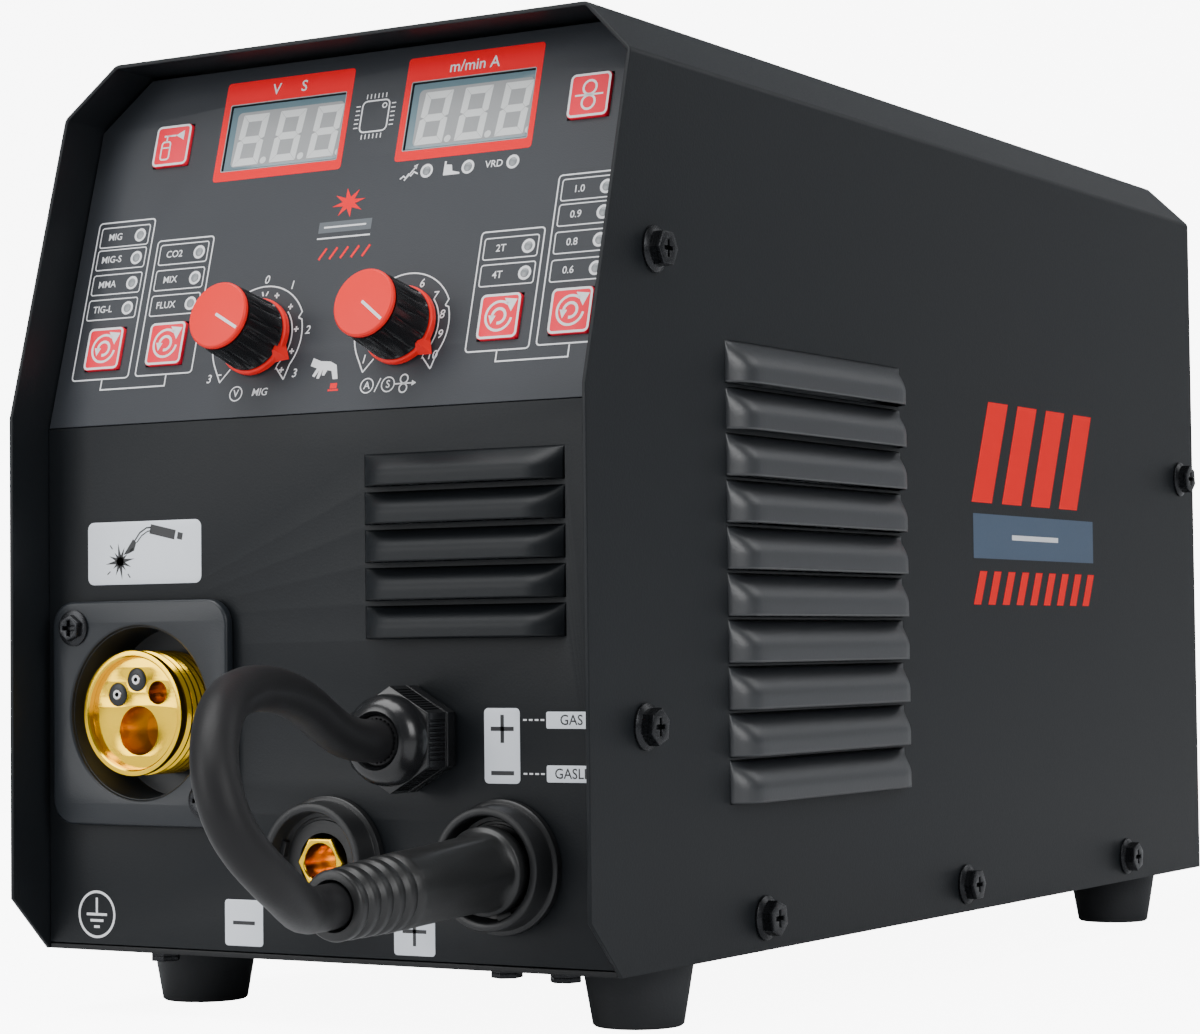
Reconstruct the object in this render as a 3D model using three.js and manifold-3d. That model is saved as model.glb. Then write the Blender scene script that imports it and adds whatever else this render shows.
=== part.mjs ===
// Portable inverter welder in a folded sheet steel case.
// Millimetres, +Z up. The operator stands at -Y and +X is to the operator's right.
// The origin is under the middle of the case, on the surface that the feet stand on.

import * as THREE from 'three';
import { mergeVertices } from 'three/addons/utils/BufferGeometryUtils.js';
import { ConvexGeometry } from 'three/addons/geometries/ConvexGeometry.js';
import Module from 'manifold-3d';

const wasm = await Module();
wasm.setup();

// ---------------------------------------------------------------- driving dimensions

// Case. Inside this file Y = 0 is the cover's front edge and Z = 0 the underside of the base.
const WIDTH = 188;
const HEIGHT = 250;
const LENGTH = 429;
const COVER_SHEET = 1.2;
const PANEL_SHEET = 1.5;
const SEAT_GAP = 0.3;
const BEVEL_IN = 15.4;
const BEVEL_DOWN = 14.7;
const FRONT_RECESS = 14.8;
const REAR_RECESS = 3;
const KNEE_Z = 146;
const TILT = THREE.MathUtils.degToRad(15.4);
const FLANGE_DEPTH = 20;

const HALF_INSIDE = WIDTH / 2 - COVER_SHEET;
const PANEL_HALF = HALF_INSIDE - SEAT_GAP;
const BASE_TOP = PANEL_SHEET;
const PANEL_BOTTOM = BASE_TOP + SEAT_GAP;
const REAR_FACE_Y = LENGTH - REAR_RECESS;
const REAR_INNER_Y = REAR_FACE_Y - PANEL_SHEET;

// Feet
const FOOT_HEIGHT = 17.5;
const FOOT_TOP_RADIUS = 15.2;
const FOOT_FLOOR_RADIUS = 12.2;
const FOOT_X = 72.5;
const FOOT_FRONT_Y = 59;
const FOOT_REAR_INSET = 32;

// Louvers
const LOUVER_REACH = 5.5;
const SIDE_LOUVERS = { count: 10, length: 108, pitch: 12.5, height: 11.5, startY: 72, lowestZ: 40.5 };
const FRONT_LOUVERS = { count: 5, length: 62, pitch: 10, height: 8.5, startX: 16.5, lowestZ: 85.5 };
const LOUVER_END_SLOPE = 8;

// Control face: heights are above the printed face, places are (x, distance up the slope).
const OVERLAY_THICKNESS = 0.9;
const OVERLAY_TOP_GAP = 1;
const FACE_SHEET_FRONT = -OVERLAY_THICKNESS - SEAT_GAP;
const FACE_SHEET_BACK = FACE_SHEET_FRONT - PANEL_SHEET;
const KNOB_PLACES = { left: [-22.8, 22.5], right: [25, 22.7] };
const KNOB_TOP_RADIUS = 9.5;
const KNOB_BASE_RADIUS = 10.3;
const KNOB_HEIGHT = 19;
const KNOB_CAP = 1.6;
const POINTER_RING_BOTTOM = 0.7;
const POINTER_RING_TOP = 2.8;
const POINTER_RING_RADIUS = 10.9;
const POINTER_TIP = 14;
const POINTER_TURN = { left: THREE.MathUtils.degToRad(-29.5), right: THREE.MathUtils.degToRad(-37.5) };
const SHAFT_RADIUS = 3;
const SHAFT_TOP = 12;
const BUSHING_RADIUS = 3.5;
const POT_RADIUS = 8;
const POT_BACK = -15;
const RUNNING_GAP = 0.35;
const BUTTON_SIZE = 12.6;
const BUTTON_STAND = 0.9;
const BUTTON_SKIRT = 0.6;
const BUTTON_TRAVEL = 1;
const BUTTON_PLACES = {
  gas_test: [-64.8, 83.5],
  wire_inch: [74.1, 83.9],
  process: [-76.7, 22.7],
  gas_type: [-54.6, 22.9],
  trigger_mode: [55.6, 23.4],
  wire_size: [77.4, 23.5],
};
const DISPLAY_WINDOW = [39.7, 20];
const DISPLAY_PLACES = { left: [-26.1, 83.9], right: [35.8, 84.1] };
const DISPLAY_SINK = 0.4;
const BOARD_FRONT = -8.3;
const BOARD_THICKNESS = 1.6;
const BOARD_HALF = 86;
const BOARD_SLOPE = [7, 98];
const TACT_SWITCH = 6;
const STANDOFF_RADIUS = 2.5;

// Torch connector: places are (x, height) on the lower front panel.
const EURO_PLACE = [-57.7, 65.9];
const EURO_PLATE = [61.2, 61.8];
const EURO_CORNER = 7;
const EURO_PLATE_FRONT = 3.5;
const EURO_CUP_RADIUS = 23.6;
const EURO_CUP_WALL = 2;
const EURO_CUP_DEPTH = 14;
const EURO_BRASS_RADIUS = 17.1;
const EURO_BRASS_FRONT = 6;
const EURO_FACE_SINK = 2;
const EURO_RIM = 1.6;
const EURO_THREAD_DEPTH = 0.9;
const EURO_TAIL_RADIUS = 10.5;
const EURO_TAIL_END = -46;
const EURO_HOLES = [
  { name: 'wire', at: [0.6, -4.8], radius: 6.7 },
  { name: 'left contact', at: [-6.7, 5.1], radius: 3.15 },
  { name: 'right contact', at: [0, 9.2], radius: 3.15 },
  { name: 'gas', at: [7.2, 5.6], radius: 3.15 },
];
const EURO_HOLE_DEPTH = 12;
const EURO_WIRE_DEPTH = 18;

// Cable gland, sockets and plug
const CABLE_DIAMETER = 11;
const CABLE_SIDES = 8;
const CABLE_STEPS = 40;
const GLAND_PLACE = [33, 59.4];
const GLAND_FLATS = 24;
const GLAND_HEX_TOP = 4.5;
const GLAND_NUT_TOP = 13.4;
const GLAND_DOME_TOP = 20;
const GLAND_THREAD_RADIUS = 9.8;
const GLAND_BACK = -12;
const SOCKET_PLACES = { minus: [4.8, 26.8], plus: [59.2, 26.8] };
const SOCKET_FLANGE_RADIUS = 17.3;
const SOCKET_FLANGE_TOP = 2.6;
const SOCKET_RING_RADIUS = 15.9;
const SOCKET_RING_TOP = 9.6;
const SOCKET_WELL_RADIUS = 13.4;
const SOCKET_WELL_FLOOR = 3.6;
const SOCKET_NECK_RADIUS = 10.6;
const SOCKET_BACK = -15;
const INSERT_CORNER_RADIUS = 7.4;
const INSERT_FRONT = 5.3;
const INSERT_BORE = 5;
const INSERT_DEPTH = -14;
const STUD_RADIUS = 4;
const STUD_END = -26;
const PLUG_DROOP = THREE.MathUtils.degToRad(3.2);
const PLUG_LENGTH = 75;
const PLUG_COLLAR_RADIUS = 11.4;
const PLUG_BASE_RADIUS = 10.2;
const PLUG_WAIST_RADIUS = 9.4;
const PLUG_END_RADIUS = 8.6;
const PLUG_RIBS = 5;
const PLUG_RIB_START = 51;
const PLUG_BORE_DEPTH = 12;
const PIN_RADIUS = 4.1;
const PIN_FRONT = -10;

// Side door and its furniture
const DOOR_Y = [60, 405];
const DOOR_Z = [18, 230];
const DOOR_GAP = 1;
const DOOR_LIP = 9;
const HINGE_RADIUS = 2.9;
const HINGE_OUT = 3.2;
const HINGE_HEIGHTS = { lower: 52, upper: 196 };
const HINGE_LENGTH = 30;
const HINGE_LEAF = 13;
const PIVOT_X = -WIDTH / 2 - HINGE_OUT;
const PIVOT_Y = DOOR_Y[1];
const LATCH_Y_INSET = 12;
const LATCH_Z = 124;
const LATCH_KNOB_RADIUS = 9;
const LATCH_KNOB_REACH = 5;
const LATCH_SPINDLE_RADIUS = 4;
const CAM_LENGTH = 22;
const CAM_HALF_WIDTH = 4;
const CAM_THICKNESS = 1.5;

// Top handle
const HANDLE_X = 15;
const HANDLE_FRONT_Y = 148;
const HANDLE_SPAN = 140;
const HANDLE_RISE = 9;
const HANDLE_REACH = 38;
const HANDLE_BAR_RADIUS = 4.5;
const GRIP_RADIUS = 8;
const HANDLE_BLOCK = [24, 12];
const HANDLE_STEPS = 40;

// Inside
const DIVIDER_X = -16;
const SPOOL_Y = 296;
const SPOOL_Z = 126;
const SPOOL_RADIUS = 100;
const SPOOL_WIDTH = 54;
const SPOOL_BORE = 25.5;
const WIRE_PACK_RADIUS = 84;
const FAN_SIZE = 92;
const FAN_DEPTH = 25;
const FAN_PLACE = [36, 172];
const FEED_PLATE_X = -34;
const DRIVE_Y = 122;
const DRIVE_ROLL_RADIUS = 15;
const PRESSURE_ROLL_RADIUS = 11;
const ROLL_WIDTH = 10;
const WIRE_RADIUS = 0.5;
const FEED_AXLE_RADIUS = 3;
const MOTOR_RADIUS = 24;
const SWITCH_PLACE = [-58, 196];
const SWITCH_WINDOW = [30, 22];
const MAINS_GLAND_PLACE = [62, 62];
const GAS_INLET_PLACE = [-48, 48];
const INLET_REACH = 22;

// ---------------------------------------------------------------- shape helpers

// Turns a closed three.js geometry into a solid with its faces out.
function toSolid(geometry) {
  const bare = geometry.clone();
  bare.deleteAttribute('normal');
  bare.deleteAttribute('uv');
  const merged = mergeVertices(bare, 1e-4);
  const points = merged.attributes.position;
  const corners = merged.index.array;
  const triangles = [];
  let volume = 0;
  const a = new THREE.Vector3();
  const b = new THREE.Vector3();
  const c = new THREE.Vector3();
  for (let i = 0; i < corners.length; i += 3) {
    const [p, q, r] = [corners[i], corners[i + 1], corners[i + 2]];
    if (p === q || q === r || r === p) continue;
    triangles.push(p, q, r);
    a.fromBufferAttribute(points, p);
    b.fromBufferAttribute(points, q);
    c.fromBufferAttribute(points, r);
    volume += a.dot(b.cross(c));
  }
  if (volume < 0) triangles.reverse();
  const mesh = new wasm.Mesh({
    numProp: 3,
    vertProperties: new Float32Array(points.array),
    triVerts: new Uint32Array(triangles),
  });
  return new wasm.Manifold(mesh);
}

function toGeometry(solid) {
  const mesh = solid.getMesh();
  const geometry = new THREE.BufferGeometry();
  geometry.setAttribute('position', new THREE.BufferAttribute(mesh.vertProperties, 3));
  geometry.setIndex(new THREE.BufferAttribute(mesh.triVerts, 1));
  geometry.computeVertexNormals();
  return geometry;
}

const join = (...pieces) => toGeometry(pieces.map(toSolid).reduce((sum, next) => sum.add(next)));
const cut = (body, ...tools) =>
  toGeometry(tools.map(toSolid).reduce((rest, tool) => rest.subtract(tool), toSolid(body)));
const common = (one, other) => toGeometry(toSolid(one).intersect(toSolid(other)));

function moved(geometry, x, y, z) {
  return geometry.clone().translate(x, y, z);
}

// Reassigns axes: each argument is the direction that the geometry's x, y and z are sent to.
function turnedTo(geometry, alongX, alongY, alongZ) {
  const basis = new THREE.Matrix4().makeBasis(
    new THREE.Vector3(...alongX), new THREE.Vector3(...alongY), new THREE.Vector3(...alongZ));
  return geometry.clone().applyMatrix4(basis);
}

function block(x0, x1, y0, y1, z0, z1) {
  const box = new THREE.BoxGeometry(x1 - x0, y1 - y0, z1 - z0);
  return box.translate((x0 + x1) / 2, (y0 + y1) / 2, (z0 + z1) / 2);
}

function outline(points) {
  return new THREE.Shape(points.map(([u, v]) => new THREE.Vector2(u, v)));
}

function circlePath(x, y, radius, sides) {
  const ring = [];
  for (let i = 0; i < sides; i += 1) {
    const angle = (2 * Math.PI * i) / sides;
    ring.push(new THREE.Vector2(x + radius * Math.cos(angle), y + radius * Math.sin(angle)));
  }
  return new THREE.Path(ring);
}

function rectanglePath(x, y, width, height) {
  const w = width / 2;
  const h = height / 2;
  return new THREE.Path([[-w, -h], [w, -h], [w, h], [-w, h]].map(([u, v]) => new THREE.Vector2(x + u, y + v)));
}

function roundedRectangle(x, y, width, height, radius) {
  const shape = new THREE.Shape();
  const [l, r, b, t] = [x - width / 2, x + width / 2, y - height / 2, y + height / 2];
  shape.moveTo(l + radius, b);
  shape.lineTo(r - radius, b);
  shape.absarc(r - radius, b + radius, radius, -Math.PI / 2, 0);
  shape.lineTo(r, t - radius);
  shape.absarc(r - radius, t - radius, radius, 0, Math.PI / 2);
  shape.lineTo(l + radius, t);
  shape.absarc(l + radius, t - radius, radius, Math.PI / 2, Math.PI);
  shape.lineTo(l, b + radius);
  shape.absarc(l + radius, b + radius, radius, Math.PI, Math.PI * 1.5);
  return shape;
}

// A flat shape given thickness from z0 to z1.
function slab(shape, z0, z1, curveSegments = 4) {
  const geometry = new THREE.ExtrudeGeometry(shape, { depth: z1 - z0, bevelEnabled: false, curveSegments });
  return geometry.translate(0, 0, z0);
}

// A profile of (y, z) points carried from x0 to x1, and one of (x, z) points from y0 to y1.
function alongX(points, x0, x1) {
  return turnedTo(slab(outline(points), x0, x1), [0, 1, 0], [0, 0, 1], [1, 0, 0]);
}

function alongY(points, y0, y1) {
  return turnedTo(slab(outline(points), y0, y1), [1, 0, 0], [0, 0, 1], [0, 1, 0]);
}

// A profile of (radius, z) points turned about Z.
function turned(profile, sides = 24) {
  const points = profile.map(([r, z]) => new THREE.Vector2(r, z));
  return turnedTo(new THREE.LatheGeometry(points, sides), [1, 0, 0], [0, 0, 1], [0, 1, 0]);
}

function rod(x, y, radius, z0, z1, sides = 16) {
  return moved(turned([[0, z0], [radius, z0], [radius, z1], [0, z1]], sides), x, y, 0);
}

function hexagon(x, y, flats, z0, z1) {
  const corner = flats / Math.sqrt(3);
  return moved(turned([[0, z0], [corner, z0], [corner, z1], [0, z1]], 6), x, y, 0);
}

// Sends a geometry built along Z to run along X instead.
const ontoX = (geometry) => turnedTo(geometry, [0, 1, 0], [0, 0, 1], [1, 0, 0]);
const ontoY = (geometry) => turnedTo(geometry, [0, 0, 1], [1, 0, 0], [0, 1, 0]);

// ---------------------------------------------------------------- finishes

function finish(color, roughness, metalness) {
  return new THREE.MeshStandardMaterial({ color, roughness, metalness });
}

const FINISH = {
  blackSteel: finish(0x33373b, 0.5, 0.3),
  graphicFace: finish(0x4a4d52, 0.55, 0),
  blackPlastic: finish(0x17181a, 0.45, 0),
  rubber: finish(0x1d1e1f, 0.8, 0),
  red: finish(0xee2c3c, 0.4, 0),
  brass: finish(0xd9a437, 0.25, 1),
  steel: finish(0x9a9da1, 0.35, 1),
  aluminium: finish(0xb9bcc0, 0.4, 1),
  boardGreen: finish(0x1f5a3a, 0.6, 0),
  displayGrey: finish(0x8d979c, 0.3, 0),
  copper: finish(0xb0683c, 0.4, 1),
  spoolPlastic: finish(0x202225, 0.6, 0),
};

// ---------------------------------------------------------------- groups

const welder = new THREE.Group();

// Lower front panel: x to the right, y up, z out of the panel.
const frontFace = new THREE.Group();
frontFace.position.set(0, FRONT_RECESS, 0);
frontFace.rotation.x = Math.PI / 2;

// Tilted control face: x to the right, y up the slope, z out of the face.
const controlFace = new THREE.Group();
controlFace.position.set(0, FRONT_RECESS, KNEE_Z);
controlFace.rotation.x = Math.PI / 2 - TILT;

// Rear panel: x to the right, y down, z out of the panel, towards +Y.
const rearFace = new THREE.Group();
rearFace.position.set(0, REAR_FACE_Y, 0);
rearFace.rotation.x = -Math.PI / 2;

welder.add(frontFace, controlFace, rearFace);
for (const group of [frontFace, controlFace, rearFace]) group.updateMatrix();

const inCase = (group, geometry) => geometry.clone().applyMatrix4(group.matrix);

function addPiece(name, geometry, material, parent = welder, place = [0, 0, 0]) {
  const mesh = new THREE.Mesh(toGeometry(toSolid(geometry)), material);
  mesh.name = name;
  mesh.position.set(...place);
  parent.add(mesh);
  return mesh;
}

// ---------------------------------------------------------------- case sheet metal

const BEVEL_TURN = Math.atan2(BEVEL_IN, BEVEL_DOWN);

// The case's cross-section set in from the cover's outside, as (x, z) points from left to right.
function caseOutline(inset, bottom) {
  const side = WIDTH / 2 - inset;
  const top = HEIGHT - inset;
  const shoulder = HEIGHT - BEVEL_DOWN - inset * Math.tan(BEVEL_TURN / 2);
  const ridge = WIDTH / 2 - BEVEL_IN - inset * Math.tan((Math.PI / 2 - BEVEL_TURN) / 2);
  return [[-side, bottom], [-side, shoulder], [-ridge, top], [ridge, top], [side, shoulder], [side, bottom]];
}

// One pressed louver with its opening downwards: x along it, y up, z out of the sheet.
function louverHood(length, height, reach, inset) {
  const sheetBack = inset > 0 ? -3 : -0.4;
  const foot = inset > 0 ? -0.3 : 0;
  const points = [];
  for (const [x, slope] of [[inset, LOUVER_END_SLOPE], [length - inset, -LOUVER_END_SLOPE]]) {
    points.push([x, foot, sheetBack], [x, height - 1.6 * inset, sheetBack]);
    points.push([x, foot, 0], [x, height - 1.6 * inset, 0]);
    points.push([x + slope, foot, reach - inset], [x + slope, height * 0.3, reach - inset]);
  }
  return new ConvexGeometry(points.map((point) => new THREE.Vector3(...point)));
}

// Presses a column of louvers into a sheet; place() sends each louver to its spot.
function pressLouvers(sheet, row, place) {
  const hoods = [];
  const hollows = [];
  for (let i = 0; i < row.count; i += 1) {
    hoods.push(place(louverHood(row.length, row.height, LOUVER_REACH, 0), i * row.pitch));
    hollows.push(place(louverHood(row.length, row.height, LOUVER_REACH, COVER_SHEET), i * row.pitch));
  }
  return cut(join(sheet, ...hoods), ...hollows);
}

// Fixed half of a door hinge, welded to the cover behind the doorway, with the hinge pin.
function hingeHalf(height) {
  const outer = -WIDTH / 2;
  const [from, to] = [height - HINGE_LENGTH / 2, height];
  const leaf = block(outer - COVER_SHEET, outer + 0.2, PIVOT_Y + 1, PIVOT_Y + HINGE_LEAF, from, to);
  const web = block(PIVOT_X, outer - 0.4, PIVOT_Y, PIVOT_Y + 3, from, to);
  const barrel = rod(PIVOT_X, PIVOT_Y, HINGE_RADIUS, from, to, 12);
  const pin = rod(PIVOT_X, PIVOT_Y, HINGE_RADIUS / 2, from + 1, height + HINGE_LENGTH / 2 - 1, 12);
  return join(leaf, web, barrel, pin);
}

function coverShell() {
  const outside = caseOutline(0, 0);
  const inside = caseOutline(COVER_SHEET, 0).reverse();
  const kneeZ = KNEE_Z + FRONT_RECESS * Math.tan(TILT / 2);
  const topY = (HEIGHT - kneeZ) * Math.tan(TILT);
  const sideProfile = [
    [FRONT_RECESS, -1], [LENGTH, -1], [LENGTH, HEIGHT + 1], [topY, HEIGHT + 1], [topY, HEIGHT],
    [0, kneeZ], [0, FRONT_RECESS], [FRONT_RECESS, 0],
  ];
  const wrap = alongY([...outside, ...inside], 0, LENGTH);
  const shaped = common(wrap, alongX(sideProfile, -WIDTH, WIDTH));
  const doorway = block(-WIDTH / 2 - 1, -HALF_INSIDE + 1, ...DOOR_Y, ...DOOR_Z);
  const place = (louver, rise) => moved(
    turnedTo(louver, [0, 1, 0], [0, 0, 1], [1, 0, 0]),
    WIDTH / 2, SIDE_LOUVERS.startY, SIDE_LOUVERS.lowestZ + rise);
  const hinges = Object.values(HINGE_HEIGHTS).map(hingeHalf);
  return pressLouvers(join(cut(shaped, doorway), ...hinges), SIDE_LOUVERS, place);
}

// Base tray: a plate with two side flanges turned up inside the cover.
function baseTray() {
  const flangeTop = 18;
  const profile = [
    [-PANEL_HALF, 0], [PANEL_HALF, 0], [PANEL_HALF, flangeTop], [PANEL_HALF - PANEL_SHEET, flangeTop],
    [PANEL_HALF - PANEL_SHEET, BASE_TOP], [-PANEL_HALF + PANEL_SHEET, BASE_TOP],
    [-PANEL_HALF + PANEL_SHEET, flangeTop], [-PANEL_HALF, flangeTop],
  ];
  const tray = alongY(profile, FRONT_RECESS, LENGTH - COVER_SHEET);
  const flangeFront = FRONT_RECESS + FLANGE_DEPTH + SEAT_GAP;
  const flangeRear = REAR_FACE_Y - FLANGE_DEPTH - SEAT_GAP;
  const clearings = [];
  for (const [y0, y1] of [[0, flangeFront], [flangeRear, LENGTH]]) {
    clearings.push(block(-WIDTH, WIDTH, y0, y1, BASE_TOP, flangeTop + 1));
  }
  return cut(tray, ...clearings);
}

// The inside of the cover, less a seat gap, as a solid that trims what fits in it.
function insideOfCover() {
  return alongY(caseOutline(COVER_SHEET + SEAT_GAP, 0), -10, LENGTH + 10);
}

// Front panel: lower sheet, a shallow step, the tilted control sheet and two side flanges.
function frontPanel() {
  const onFace = (s, h) => [
    FRONT_RECESS + s * Math.sin(TILT) - h * Math.cos(TILT),
    KNEE_Z + s * Math.cos(TILT) + h * Math.sin(TILT),
  ];
  const faceTop = (HEIGHT - KNEE_Z) / Math.cos(TILT) + FLANGE_DEPTH;
  const sheet = [
    [FRONT_RECESS, PANEL_BOTTOM], [FRONT_RECESS, KNEE_Z - SEAT_GAP], onFace(-SEAT_GAP, FACE_SHEET_FRONT),
    onFace(faceTop, FACE_SHEET_FRONT), onFace(faceTop, FACE_SHEET_BACK), onFace(-SEAT_GAP, FACE_SHEET_BACK),
    [FRONT_RECESS + PANEL_SHEET, KNEE_Z - 2 * PANEL_SHEET], [FRONT_RECESS + PANEL_SHEET, PANEL_BOTTOM],
  ];
  const flange = [
    [FRONT_RECESS + 0.1, PANEL_BOTTOM], [FRONT_RECESS + 0.1, KNEE_Z - PANEL_SHEET],
    onFace(0, FACE_SHEET_BACK + 0.5), onFace(faceTop, FACE_SHEET_BACK + 0.5),
    onFace(faceTop, -FLANGE_DEPTH), onFace(0, -FLANGE_DEPTH), [FRONT_RECESS + FLANGE_DEPTH, PANEL_BOTTOM],
  ];
  const folded = join(
    alongX(sheet, -PANEL_HALF, PANEL_HALF),
    alongX(flange, -PANEL_HALF, -PANEL_HALF + PANEL_SHEET),
    alongX(flange, PANEL_HALF - PANEL_SHEET, PANEL_HALF));
  const holes = [];
  const euroHole = EURO_CUP_RADIUS + EURO_CUP_WALL + SEAT_GAP;
  holes.push(inCase(frontFace, rod(...EURO_PLACE, euroHole, -5, 5, 28)));
  holes.push(inCase(frontFace, rod(...GLAND_PLACE, GLAND_THREAD_RADIUS + SEAT_GAP, -5, 5)));
  for (const place of Object.values(SOCKET_PLACES)) {
    holes.push(inCase(frontFace, rod(...place, SOCKET_NECK_RADIUS + SEAT_GAP, -5, 5)));
  }
  const [z0, z1] = [FACE_SHEET_BACK - 2, 2];
  for (const place of Object.values(KNOB_PLACES)) {
    holes.push(inCase(controlFace, rod(...place, BUSHING_RADIUS + SEAT_GAP, z0, z1)));
  }
  const buttonHole = BUTTON_SIZE / 2 + RUNNING_GAP;
  for (const [x, s] of Object.values(BUTTON_PLACES)) {
    const hole = block(x - buttonHole, x + buttonHole, s - buttonHole, s + buttonHole, z0, z1);
    holes.push(inCase(controlFace, hole));
  }
  const [w, h] = DISPLAY_WINDOW.map((size) => size / 2);
  for (const [x, s] of Object.values(DISPLAY_PLACES)) {
    holes.push(inCase(controlFace, block(x - w, x + w, s - h, s + h, z0, z1)));
  }
  const place = (louver, rise) => inCase(
    frontFace, moved(louver, FRONT_LOUVERS.startX, FRONT_LOUVERS.lowestZ + rise, 0));
  const trimmed = common(cut(folded, ...holes), insideOfCover());
  return pressLouvers(trimmed, FRONT_LOUVERS, place);
}

// Printed polycarbonate face with its windows, button openings and knob shaft holes.
function controlOverlay() {
  const half = PANEL_HALF - SEAT_GAP;
  const topZ = HEIGHT - COVER_SHEET - SEAT_GAP - OVERLAY_TOP_GAP;
  const topS = (topZ - KNEE_Z) / Math.cos(TILT);
  const shoulderZ = HEIGHT - BEVEL_DOWN - COVER_SHEET - OVERLAY_TOP_GAP;
  const shoulderS = (shoulderZ - KNEE_Z) / Math.cos(TILT);
  const ridge = half - (BEVEL_IN / BEVEL_DOWN) * (topZ - shoulderZ);
  const face = outline([[-half, 0], [half, 0], [half, shoulderS], [ridge, topS], [-ridge, topS], [-half, shoulderS]]);
  for (const [x, s] of Object.values(KNOB_PLACES)) {
    face.holes.push(circlePath(x, s, BUSHING_RADIUS + SEAT_GAP, 16));
  }
  const opening = BUTTON_SIZE + 2 * RUNNING_GAP;
  for (const [x, s] of Object.values(BUTTON_PLACES)) face.holes.push(rectanglePath(x, s, opening, opening));
  for (const [x, s] of Object.values(DISPLAY_PLACES)) face.holes.push(rectanglePath(x, s, ...DISPLAY_WINDOW));
  return slab(face, -OVERLAY_THICKNESS, 0);
}

// Rear panel in rear coordinates, where y runs down from the underside of the base.
function rearPanel() {
  const plate = outline(caseOutline(COVER_SHEET + SEAT_GAP, PANEL_BOTTOM).map(([x, z]) => [x, -z]));
  plate.holes.push(rectanglePath(SWITCH_PLACE[0], -SWITCH_PLACE[1], ...SWITCH_WINDOW));
  plate.holes.push(circlePath(MAINS_GLAND_PLACE[0], -MAINS_GLAND_PLACE[1], GLAND_THREAD_RADIUS + SEAT_GAP, 16));
  plate.holes.push(circlePath(GAS_INLET_PLACE[0], -GAS_INLET_PLACE[1], 6.3, 12));
  const [fanX, fanZ] = FAN_PLACE;
  const slotPitch = 9;
  const slotHeight = 5;
  const slotReach = FAN_SIZE / 2 - 4;
  for (let i = -4; i <= 4; i += 1) {
    const rise = i * slotPitch;
    const half = Math.sqrt(slotReach ** 2 - rise ** 2);
    if (half > slotPitch) plate.holes.push(rectanglePath(fanX, -(fanZ + rise), 2 * half, slotHeight));
  }
  const sheet = slab(plate, -PANEL_SHEET, 0);
  const shoulder = HEIGHT - BEVEL_DOWN - COVER_SHEET - 2;
  const flanges = [-PANEL_HALF, PANEL_HALF - PANEL_SHEET].map((x) =>
    block(x, x + PANEL_SHEET, -shoulder, -PANEL_BOTTOM - SEAT_GAP, -FLANGE_DEPTH, -0.1));
  return join(sheet, ...flanges);
}

function centreDivider() {
  const y0 = FRONT_RECESS + FLANGE_DEPTH + EURO_CUP_DEPTH + 6;
  const y1 = REAR_INNER_Y - SEAT_GAP;
  const sheet = block(DIVIDER_X, DIVIDER_X + PANEL_SHEET, y0, y1, BASE_TOP + SEAT_GAP, HEIGHT - COVER_SHEET - SEAT_GAP);
  const foot = block(DIVIDER_X, DIVIDER_X + 14, y0, y1, BASE_TOP + SEAT_GAP, BASE_TOP + SEAT_GAP + PANEL_SHEET);
  const driveZ = wireHeight() - WIRE_RADIUS - DRIVE_ROLL_RADIUS;
  const motorHole = moved(ontoX(rod(0, 0, MOTOR_RADIUS + SEAT_GAP, -5, 5, 24)), DIVIDER_X, DRIVE_Y, driveZ);
  const controlSlope = inCase(controlFace, block(-60, 60, -60, 200, BOARD_FRONT - BOARD_THICKNESS - 8, 60));
  return cut(join(sheet, foot), motorHole, controlSlope);
}

addPiece('cover_shell', coverShell(), FINISH.blackSteel);
addPiece('base_tray', baseTray(), FINISH.blackSteel);
addPiece('front_panel', frontPanel(), FINISH.blackSteel);
addPiece('control_overlay', controlOverlay(), FINISH.graphicFace, controlFace);
addPiece('rear_panel', rearPanel(), FINISH.blackSteel, rearFace);
addPiece('centre_divider', centreDivider(), FINISH.steel);

// ---------------------------------------------------------------- feet

function rubberFoot() {
  const recess = 5;
  return turned([
    [0, -8], [recess, -8], [recess, -FOOT_HEIGHT], [FOOT_FLOOR_RADIUS, -FOOT_HEIGHT],
    [FOOT_TOP_RADIUS, -SEAT_GAP], [0, -SEAT_GAP],
  ]);
}

for (const [side, x] of [['left', -FOOT_X], ['right', FOOT_X]]) {
  addPiece(`foot_front_${side}`, rubberFoot(), FINISH.rubber, welder, [x, FOOT_FRONT_Y, 0]);
  addPiece(`foot_rear_${side}`, rubberFoot(), FINISH.rubber, welder, [x, LENGTH - FOOT_REAR_INSET, 0]);
}

// ---------------------------------------------------------------- side door

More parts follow.
